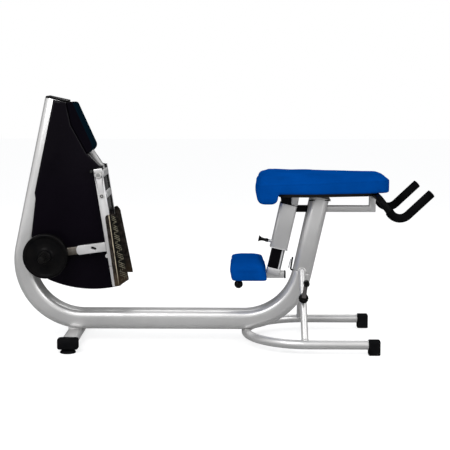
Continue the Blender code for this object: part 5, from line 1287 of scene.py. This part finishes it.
def blue_vinyl():
    """Upholstery vinyl: grained like leather, a little duller and darker where it has been rubbed."""
    made, tree, shader, place = new_material("blue_vinyl", Specular_IOR_Level=0.0)
    blue, rubbed = (0.0004, 0.054, 0.275), (0.0003, 0.044, 0.225)
    base = uneven(tree, place, blue, rubbed, 7.0, 0.55, 0.16, 300.0, 0.00003)
    grain = node(tree, "TexVoronoi", {"Vector": place, "Scale": 620.0}, feature="SMOOTH_F1")
    folds = noise(tree, place, 17.0, 3.0)
    wrinkled = node(tree, "Bump", {"Height": folds, "Distance": 0.0012, "Strength": 0.7}).outputs[0]
    leather = {"Height": grain.outputs["Distance"], "Distance": 0.00022, "Strength": 0.8, "Normal": wrinkled}
    grained = node(tree, "Bump", leather, invert=True)
    return wired(made, tree, shader, base, normal=grained.outputs["Normal"])


BLUE_VINYL = blue_vinyl()


def linked(data, name):
    """A mesh or curve as an object of the scene, for a modifier to work on."""
    if isinstance(data, bmesh.types.BMesh):
        mesh = bpy.data.meshes.new(name)
        data.to_mesh(mesh)
        data.free()
        data = mesh
    made = bpy.data.objects.new(name, data)
    bpy.context.scene.collection.objects.link(made)
    return made


def applied(made):
    """The object's mesh with its modifiers applied; the object goes."""
    seen = made.evaluated_get(bpy.context.evaluated_depsgraph_get())
    bm = bmesh.new()
    bm.from_mesh(seen.to_mesh())
    seen.to_mesh_clear()
    data = made.data
    bpy.data.objects.remove(made)
    if isinstance(data, bpy.types.Mesh):
        bpy.data.meshes.remove(data)
    return bm


def carved(bm, *cutters):
    """Takes the cutters' volume out of the mesh."""
    made = linked(bm, "carved")
    tools = [linked(cutter, "cutter") for cutter in cutters]
    for tool in tools:
        cut = made.modifiers.new("cut", "BOOLEAN")
        cut.object = tool
        cut.operation = "DIFFERENCE"
        cut.solver = "EXACT"
    bm = applied(made)
    for tool in tools:
        bpy.data.objects.remove(tool)
    return bm


def upholstered(bm, held, reach):
    """Foam under its cover: evenly remeshed, blown up like a cushion where it isn't held, smoothed once."""
    made = linked(bm, "foam")
    even = made.modifiers.new("even", "REMESH")
    even.mode = "VOXEL"
    even.voxel_size = VOXEL
    bm = applied(made)
    for _ in range(3):
        bmesh.ops.smooth_vert(
            bm, verts=bm.verts, factor=0.5, use_axis_x=True, use_axis_y=True, use_axis_z=True
        )
    start = [vert.co.copy() for vert in bm.verts]
    pinned = [vert.index for vert in bm.verts if held(vert.co)]
    made = linked(bm, "foam")
    made.vertex_groups.new(name="held").add(pinned, 1.0, "REPLACE")
    cloth = made.modifiers.new("cover", "CLOTH").settings
    cloth.quality = 6
    cloth.mass = 0.3
    cloth.tension_stiffness = cloth.compression_stiffness = 18
    cloth.bending_stiffness = 0.6
    cloth.use_pressure = True
    cloth.uniform_pressure_force = 4.0
    cloth.effector_weights.gravity = 0.0
    cloth.vertex_group_mass = "held"
    for frame_number in range(1, SETTLED + 1):
        bpy.context.scene.frame_set(frame_number)
    bm = applied(made)
    bpy.context.scene.frame_set(1)
    for vert, place in zip(bm.verts, start):
        moved = vert.co - place
        vert.co = place + moved * min(1.0, reach / max(moved.length, 1e-6))
    made = linked(bm, "foam")
    made.modifiers.new("smooth", "SUBSURF").levels = 1
    return applied(made)


def everything(bm):
    return bm.verts[:] + bm.edges[:] + bm.faces[:]


def welt(bm, centre, normal, radius, name, body):
    """A thin welt sewn round the pad where a plane cuts it."""
    sliced = bm.copy()
    cut = bmesh.ops.bisect_plane(sliced, geom=everything(sliced), plane_co=centre, plane_no=normal)
    line = edges_in(cut["geom_cut"])
    here = min(verts_of(line), key=lambda vert: (vert.co.x, vert.co.y))
    along, used = [here.co.copy()], set()
    while True:
        onward = [edge for edge in here.link_edges if edge in line and edge not in used]
        if not onward:
            break
        used.add(onward[0])
        here = onward[0].other_vert(here)
        along.append(here.co.copy())
    sliced.free()
    curve = bpy.data.curves.new(name, "CURVE")
    curve.dimensions = "3D"
    curve.bevel_depth = radius
    curve.bevel_resolution = 2
    spline = curve.splines.new("POLY")
    points = along[:-1:2]
    spline.points.add(len(points) - 1)
    for point, place in zip(spline.points, points):
        point.co = (*place, 1)
    spline.use_cyclic_u = True
    tube = applied(linked(curve, name))
    bmesh.ops.remove_doubles(tube, verts=tube.verts, dist=1e-6)
    bmesh.ops.recalc_face_normals(tube, faces=tube.faces)
    return finished(tube, name, body, BLUE_VINYL)


def pad_height(x, ends):
    """A height that changes evenly from the pad's foot end to its head end."""
    return ends[0] + (ends[1] - ends[0]) * (x - PAD_START) / (PAD_END - PAD_START)


bm = tapered_plan(0.003, PAD_START + 0.003, PAD_END - 0.003, PAD_LOW, 0.032, 0.010)
bmesh.ops.bisect_plane(bm, geom=everything(bm), plane_co=(ROLL_END, 0, 0), plane_no=(1, 0, 0))
base = bm.faces[:]
top = extruded(bm, base)
for vert in verts_of(top):
    vert.co.z = pad_height(vert.co.x, SEAM_Z)
centre = Matrix.Translation((-(PAD_START + PAD_END) / 2, 0, 0))
half_size = Vector(((PAD_END - PAD_START) / 2 - 0.003, PAD_HALF - 0.003))
for inset, share in ((0.002, 0.40), (0.004, 0.27), (0.007, 0.20), (0.010, 0.10), (0.016, 0.03)):
    top = extruded(bm, top)
    smaller = half_size - Vector((inset, inset))
    squeeze = (smaller.x / half_size.x, smaller.y / half_size.y, 1)
    bmesh.ops.scale(bm, vec=squeeze, space=centre, verts=verts_of(top))
    for vert in verts_of(top):
        crown = pad_height(vert.co.x, CROWN_Z) - UNDER_COVER
        vert.co.z += share * (crown - pad_height(vert.co.x, SEAM_Z))
    half_size = smaller
roll = extruded(bm, [face for face in base if face.calc_center_median().x < ROLL_END])
bmesh.ops.translate(bm, vec=(0, 0, ROLL_LOW + UNDER_COVER - PAD_LOW), verts=verts_of(roll))
bmesh.ops.recalc_face_normals(bm, faces=bm.faces)
bevelled(bm, list(dict.fromkeys(edge for face in roll for edge in face.edges)), ROLL_RADIUS, 6)


def held_pad(place):
    on_board = place.z < PAD_LOW + 0.005 and place.x > ROLL_END - 0.002
    return on_board or abs(place.z - pad_height(place.x, SEAM_Z)) < 0.0032


bm = upholstered(bm, held_pad, 0.006)
rise = Vector((PAD_END - PAD_START, 0, SEAM_Z[1] - SEAM_Z[0])).normalized()
welt(bm, (PAD_START, 0, SEAM_Z[0]), (-rise.z, 0, rise.x), 0.0011, "torso_pad_welt", "frame")
piece = finished(bm, "torso_cushion", "frame", BLUE_VINYL, ["torso_pad"], radians(80))


# Handlebar: one steel tube painted black, bent to a hook at each side of the pad's head, with a soft black
# grip over each hook's outer leg and round its bend. A disc of the same rubber closes the grip's end.
HANDLE_LOW = Vector((0.7836, 0.220, 0.5665))
HANDLE_TIP = Vector((0.925, 0.220, 0.7007))
HANDLE_BEND = 0.050
GRIP_RADIUS = 0.019

GRIP_RUBBER = black_rubber("foam_grip_rubber", (0.0020, 0.0020, 0.0022), 1300.0, 0.00022)


def mirrored(point):
    return Vector((point.x, -point.y, point.z))


bm = bmesh.new()
half = [HANDLE_TIP, HANDLE_LOW, HANDLE]
loop = round_ring(bm, HANDLE_RADIUS, facing(HANDLE_LOW - HANDLE_TIP, HANDLE_TIP), segments=36)
followed(bm, loop, half + [mirrored(point) for point in reversed(half)], HANDLE_BEND, radians(6))
finished(closed(bm), "bent_handlebar", "frame", BLACK_PAINT, ["handlebar"])

for side, side_name in SIDES:
    tip, low, corner = [mirrored(point) if side < 0 else point for point in half]
    start = low + (corner - low) * 0.52
    out = (tip - low).normalized()
    end = tip + out * 0.0012
    bm = bmesh.new()
    loop = round_ring(bm, GRIP_RADIUS, facing(low - start, start), segments=40)
    followed(bm, loop, [start, low, end], HANDLE_BEND, radians(6))
    closed(bm)
    softened(bm, 0.0045, segments=4, angle=radians(60))
    cap = turned([(0, 0.0012), (0.0095, 0.0012), (0.0105, 0.0004), (0.0105, 0), (0, 0)], end, out)
    joined(bm, cap)
    finished(bm, "hook_grip_" + side_name, "frame", GRIP_RUBBER, ["grip_" + side_name])


# Knee rest guide: a square sleeve, lined with nylon, that leans with the upright and is joined to it by a
# black bracket. A silver cheek and a black block stand on it up to the board; a pull pin goes in at the back.
SLEEVE_SIZE = 0.078
SLEEVE_CORNER = 0.012
SLEEVE_WALL = 0.003
SLEEVE_LOW = 0.427
SLEEVE_HIGH = 0.628
SLEEVE_BACK = 0.13111
POST_SIZE = 0.060
PIN_Z = 0.450
PIN_HOLE = 0.0058
CHEEK_X = 0.327
LINING_SIZE = 0.0714
LINING_WALL = 0.0054
LIP = 0.002


def on_sleeve(z, ahead=0.0):
    return on_upright(z) - Vector((SLEEVE_BACK, 0, 0)) + AHEAD * ahead


def square_tube(size, corner, wall, low, high):
    """A square tube with rounded corners between two points; its wall is closed at both ends."""
    way = (high - low).normalized()
    bm = bmesh.new()
    pushed(bm, rectangle_ring(bm, size, size, corner, facing(way, low)), high - low)
    bmesh.ops.recalc_face_normals(bm, faces=bm.faces)
    bmesh.ops.solidify(bm, geom=bm.faces[:], thickness=wall)
    bmesh.ops.recalc_face_normals(bm, faces=bm.faces)
    return bm


def sleeve_face(z, side):
    """X of the sleeve's front (1) or back (-1) face at a height."""
    return on_sleeve(z).x + side * (SLEEVE_SIZE / 2 / cos(LEAN) + FIT)


low, high = on_sleeve(SLEEVE_LOW), on_sleeve(SLEEVE_HIGH)
bm = square_tube(SLEEVE_SIZE, SLEEVE_CORNER, SLEEVE_WALL, low, high)
lip = square_tube(SLEEVE_SIZE + 2 * LIP, SLEEVE_CORNER + LIP, 0.0045, low, low + UP * 0.0032)
joined(bm, lip)
cheek_top = BOARD_LOW - FIT
outline = [
    (CHEEK_X, SLEEVE_HIGH - 0.001),
    (sleeve_face(SLEEVE_HIGH, 1) - 0.001, SLEEVE_HIGH - 0.008),
    (sleeve_face(cheek_top, 1) - 0.003, cheek_top),
    (CHEEK_X, cheek_top),
]
joined(bm, softened(plate(outline, -0.0375, 0.075), 0.006, segments=4))
softened(bm, 0.0008, angle=radians(60))
finished(bm, "leaning_sleeve", "frame", SILVER, ["knee_sleeve"])

outline = [
    (sleeve_face(RAIL_LOW, 1), RAIL_LOW),
    (upright_face(RAIL_LOW, -1), RAIL_LOW),
    (upright_face(RAIL_TOP, -1), RAIL_TOP),
    (sleeve_face(RAIL_TOP, 1), RAIL_TOP),
]
bm = softened(plate(outline, -0.025, 0.050), 0.002)
finished(bm, "sleeve_bracket", "frame", BLACK_PAINT)



def drill(radius, mouth, depth):
    """A round cutter along the sleeve's AHEAD, from its mouth inwards."""
    bm = bmesh.new()
    pushed(bm, round_ring(bm, radius, facing(AHEAD, mouth), segments=28), AHEAD * depth)
    return closed(bm)


pin_hole = drill(PIN_HOLE, on_sleeve(PIN_Z, -LINING_SIZE / 2 - 0.002), 0.010)
bm = carved(square_tube(LINING_SIZE, 0.0090, LINING_WALL, low + UP * 0.001, high - UP * 0.001), pin_hole)
finished(bm, "sleeve_lining", "frame", NYLON, ["sleeve_liner"])

half = SLEEVE_SIZE / 2 - SLEEVE_WALL
outline = [
    xz(high - AHEAD * half + UP * FIT),
    xz(high + AHEAD * (half - 0.022) + UP * FIT),
    (CHEEK_X - 0.001, high.z + 0.010),
    (CHEEK_X - 0.001, cheek_top),
    (0.279, cheek_top),
    xz(high - AHEAD * half + UP * 0.005),
]
bm = softened(plate(outline, -0.034, 0.068), 0.002)
finished(bm, "sleeve_buffer", "frame", RUBBER, ["sleeve_top_block"])

pin_face = on_sleeve(PIN_Z, -SLEEVE_SIZE / 2)
profile = [(0, 0.0145), (0.0060, 0.0145), (0.0065, 0.0140), (0.0065, 0.0025), (0.0095, 0.0020)]
profile += [(0.010, 0.0014), (0.010, 0), (0, 0)]
finished(turned(profile, pin_face, -AHEAD), "pin_collar", "frame", SILVER)

GLOSS_BLACK = plain_finish(
    "gloss_black_knob", (0.0035, 0.0035, 0.0035), (0.006, 0.006, 0.006), 40.0, 0.20, 0.12, 500.0, 0.00005,
    Specular_IOR_Level=0.06,
)
profile = [(0, 0.0588), (0.0128, 0.0588), (0.0140, 0.0580), (0.0138, 0.0566), (0.0112, 0.0530)]
profile += [(0.0088, 0.0480), (0.0072, 0.0420), (0.0067, 0.0360), (0.0067, 0.0310), (0.0074, 0.0270)]
profile += [(0.0082, 0.0240)]
profile += [(0.0082, 0.0165), (0.0076, 0.0148), (0.0068, 0.0148), (0.0068, 0.0278), (0.0050, 0.0278)]
profile += [(0.0050, -0.0070), (0.0040, -0.0080), (0, -0.0080)]
bm = turned(profile, pin_face, -AHEAD)
finished(bm, "trumpet_pull_pin", "pull_pin", GLOSS_BLACK, ["pull_pin"])


# Knee rest: a plated square post with locking holes slides in the sleeve and carries an arm, on which a
# padded rest for the knees lies on a shelf. A black ball knob, which turns, hangs under the rest.
POST_LOW = 0.338
POST_HIGH = 0.600
PIN_PITCH = 0.022
HOLE_RADIUS = 0.0053
ARM_LOW = 0.291
ARM_TOP = 0.3205
KNEE_PLATE_TOP = 0.3245
KNEE_START = 0.052
KNEE_END = 0.213
KNEE_HALF = 0.170
KNEE_LOW = 0.302
KNEE_SEAM = 0.342
KNOB_X = 0.091
KNOB_Z = 0.260
BALL_RADIUS = 0.0195
STUB_SIZE = 0.062
STUB_LOW = 0.311
KNEE_LEAN = 0.0085
SHELF_HALF = 0.060


def dark_plating_painted_highlight():
    """Black chrome: smooth and dark, with a painted bright highlight line and a painted grey reflection where
    the post's corner curves.
    """
    made, tree, shader, place = new_material("dark_plating_painted_highlight", Metallic=0.35, Specular_IOR_Level=0.05)
    black, smeared = (0.0035, 0.0032, 0.0040), (0.0065, 0.006, 0.007)
    base = uneven(tree, place, black, smeared, 20.0, 0.20, 0.10, 600.0, 0.00002)
    across = node(tree, "VectorMath", {0: place, 1: AHEAD}, operation="DOT_PRODUCT").outputs["Value"]
    middle = on_sleeve(POST_LOW).dot(AHEAD)
    ahead = ranged(tree, across, middle - POST_SIZE / 2, middle + POST_SIZE / 2)
    # Painted highlight: a bright line and a grey band across the post, fixed towards its front corner.
    line = ramp(tree, ahead, (0.0, 0.0), (0.76, 0.0), (0.80, 0.75), (0.86, 0.75), (0.89, 0.16), (1.0, 0.22))
    return wired(made, tree, shader, base, colour=mixed(tree, 1.0, base["Colour"], line, "ADD"))


DARK_PLATING_PAINTED_HIGHLIGHT = dark_plating_painted_highlight()

bm = square_tube(POST_SIZE, 0.006, 0.003, on_sleeve(POST_LOW) + UP * FIT, on_sleeve(POST_HIGH))
mouths = [on_sleeve(PIN_Z, -POST_SIZE / 2 - 0.004) + UP * PIN_PITCH * step for step in range(-3, 3)]
bm = carved(bm, *[drill(HOLE_RADIUS, mouth, 0.012) for mouth in mouths])
finished(bm, "plated_post", "knee_rest", DARK_PLATING_PAINTED_HIGHLIGHT, ["knee_post"])

bm = rounded_block((0.070, -0.020, ARM_LOW), (0.298, 0.020, ARM_TOP), 0.003, 0.0025)
stub = bmesh.new()
stub_foot, stub_top = on_sleeve(STUB_LOW), on_sleeve(POST_LOW)
loop = rectangle_ring(stub, STUB_SIZE, STUB_SIZE, 0.006, facing(UP, stub_foot))
pushed(stub, loop, stub_top - stub_foot)
softened(closed(stub), 0.0015, angle=radians(60))
shelf_low = (0.066, -SHELF_HALF, 0.3187)
shelf = rounded_block(shelf_low, (0.199, SHELF_HALF, KNEE_PLATE_TOP), 0.004, 0.0008)
joined(bm, stub, shelf)
finished(bm, "knee_arm_tube", "knee_rest", SILVER, ["knee_arm"])
bm = rounded_block((0.2983, -0.021, ARM_LOW - 0.001), (0.305, 0.021, ARM_TOP + 0.001), 0.002, 0.002)
finished(bm, "knee_arm_plug", "knee_rest", NYLON, ["knee_arm_cap"])

bm = bmesh.new()
place = Matrix.Translation(((KNEE_START + KNEE_END) / 2 + KNEE_LEAN, 0, KNEE_LOW))
loop = rectangle_ring(bm, KNEE_END - KNEE_START - 0.003, 2 * KNEE_HALF - 0.006, 0.018, place, segments=6)
centre = Matrix.Translation((-(KNEE_START + KNEE_END) / 2, 0, 0))
for rise, squeeze, lean in (
    (KNEE_SEAM - KNEE_LOW, (0.985, 1.0, 1), -KNEE_LEAN),
    (0.0200, (0.970, 1.0, 1), -0.0040),
    (0.0080, (0.965, 0.992, 1), 0.0),
    (0.0035, (0.93, 0.98, 1), 0.0),
    (0.0010, (0.85, 0.95, 1), 0.0),
):
    loop = pushed(bm, loop, Vector((0, 0, rise)))
    ring = verts_of(loop)
    bmesh.ops.scale(bm, vec=squeeze, space=centre, verts=ring)
    bmesh.ops.translate(bm, vec=(lean, 0, 0), verts=ring)
closed(bm)
for_shelf = plate([(0.062, 0.29), (0.203, 0.29), (0.203, 0.3248), (0.062, 0.3248)], -0.061, 0.122)
for_arm = plate([(0.062, 0.28), (0.30, 0.28), (0.30, 0.3222), (0.062, 0.3222)], -0.022, 0.044)


def held_knee_pad(place):
    under = place.z < 0.3275 and abs(place.y) < 0.068
    return under or place.z < KNEE_LOW + 0.005 or abs(place.z - KNEE_SEAM) < 0.0032


bm = upholstered(bm, held_knee_pad, 0.007)
welt(bm, (0, 0, KNEE_SEAM), (0, 0, 1), 0.0010, "knee_pad_welt", "knee_rest")
bm = carved(bm, for_shelf, for_arm)
piece = finished(bm, "knee_cushion", "knee_rest", BLUE_VINYL, ["knee_pad"], radians(80))

profile = [(0, 0.0642), (0.0047, 0.0642), (0.0050, 0.0639), (0.0050, 0.0205), (0.0080, 0.0182)]
for angle in range(60, -90, -10):
    profile.append((BALL_RADIUS * cos(radians(angle)), BALL_RADIUS * sin(radians(angle))))
profile.append((0, -BALL_RADIUS))
bm = turned(profile, (KNOB_X, 0, KNOB_Z), ALONG_Z)
finished(bm, "ball_knob", "knee_knob", GLOSS_BLACK, ["knee_knob"])


# Clamp lever on the right-hand brace: a fluted black hub, a flat grey arm and a black knob with a ring
# sunk in its face. Beside it on the upright, a wire hook with a pale plastic tag.
CLAMP_BASE = Vector((0.3783, -0.1723, CLAMP_Z))
CLAMP_HUB = 0.028
CLAMP_ARM = 0.073
CLAMP_REACH = Vector((0.011, 0, 0.0725)).normalized()
FLUTE = 0.0010
FLUTES = 16
HOOK_Z = 0.317
HOOK_RADIUS = 0.0039

ARM_GREY = plain_finish(
    "cast_grey_paint", (0.085, 0.078, 0.078), (0.060, 0.055, 0.055), 50.0, 0.46, 0.2, 450.0, 0.0001,
    Specular_IOR_Level=0.2,
)
PALE_PLASTIC = plain_finish(
    "pale_plastic", (0.62, 0.63, 0.64), (0.50, 0.51, 0.53), 60.0, 0.35, 0.15, 300.0, 0.00005,
    Specular_IOR_Level=0.4, Transmission_Weight=0.3,
)

profile = [(0, CLAMP_HUB), (0.0120, CLAMP_HUB), (0.0185, CLAMP_HUB - 0.0015), (0.0215, CLAMP_HUB - 0.0045)]
profile += [(0.0225, CLAMP_HUB - 0.0080), (0.0225, 0.0035), (0.0215, 0.0010), (0.0200, 0), (0, 0)]
bm = turned(profile, (0, 0, 0), ALONG_Z, steps=96)
for vert in bm.verts:
    out = vert.co.xy.length
    if out > 0.0205:
        flute = FLUTE * (1 - cos(atan2(vert.co.y, vert.co.x) * FLUTES))
        vert.co.xy *= (out - flute) / out
stood(bm, CLAMP_BASE, -ALONG_Y)
finished(bm, "clamp_hub", "clamp_lever", GLOSS_BLACK, ["clamp_lever"], radians(50))

across = Vector((CLAMP_REACH.z, 0, -CLAMP_REACH.x)) * 0.0095
start = CLAMP_BASE + CLAMP_REACH * 0.004
end = CLAMP_BASE + CLAMP_REACH * (CLAMP_ARM + 0.004)
corners = (start - across, start + across, end + across * 0.9, end - across * 0.9)
bm = plate([xz(corner) for corner in corners], CLAMP_BASE.y - CLAMP_HUB - 0.005, 0.012)
softened(bm, 0.003, segments=3)
finished(bm, "clamp_arm", "clamp_lever", ARM_GREY)

profile = [(0, 0.0400), (0.0040, 0.0400), (0.0046, 0.0394), (0.0046, 0.0384), (0.0072, 0.0384)]
profile += [(0.0078, 0.0400), (0.0100, 0.0414), (0.0122, 0.0408), (0.0134, 0.0380), (0.0135, 0.0060)]
profile += [(0.0125, 0.0015), (0.0110, 0), (0, 0)]
knob_base = CLAMP_BASE + CLAMP_REACH * CLAMP_ARM - Vector((0, CLAMP_HUB - 0.004, 0))
finished(turned(profile, knob_base, -ALONG_Y), "clamp_knob", "clamp_lever", GLOSS_BLACK)

bm = bmesh.new()
points = [on_upright(HOOK_Z, -TUBE_DEPTH / 2), on_upright(HOOK_Z, -TUBE_DEPTH / 2 - 0.010)]
points.append(on_upright(HOOK_Z, -TUBE_DEPTH / 2 - 0.014) + UP * 0.058)
loop = round_ring(bm, HOOK_RADIUS, facing(-AHEAD, points[0]), segments=20)
followed(bm, loop, points, 0.0065, radians(9))
softened(closed(bm), 0.0015, segments=3, angle=radians(60))
finished(bm, "wire_hook", "frame", BLACK_PAINT, ["upright_hook"])
tag = on_upright(HOOK_Z, -TUBE_DEPTH / 2 - 0.0205)
corners = [(-0.0020, 0.006), (0.0022, 0.006), (0.0030, 0.044), (0.0012, 0.047), (-0.0012, 0.047)]
bm = softened(plate([xz(tag + AHEAD * ahead + UP * up) for ahead, up in corners], -0.009, 0.018), 0.0008)
finished(bm, "hook_tag", "frame", PALE_PLASTIC)
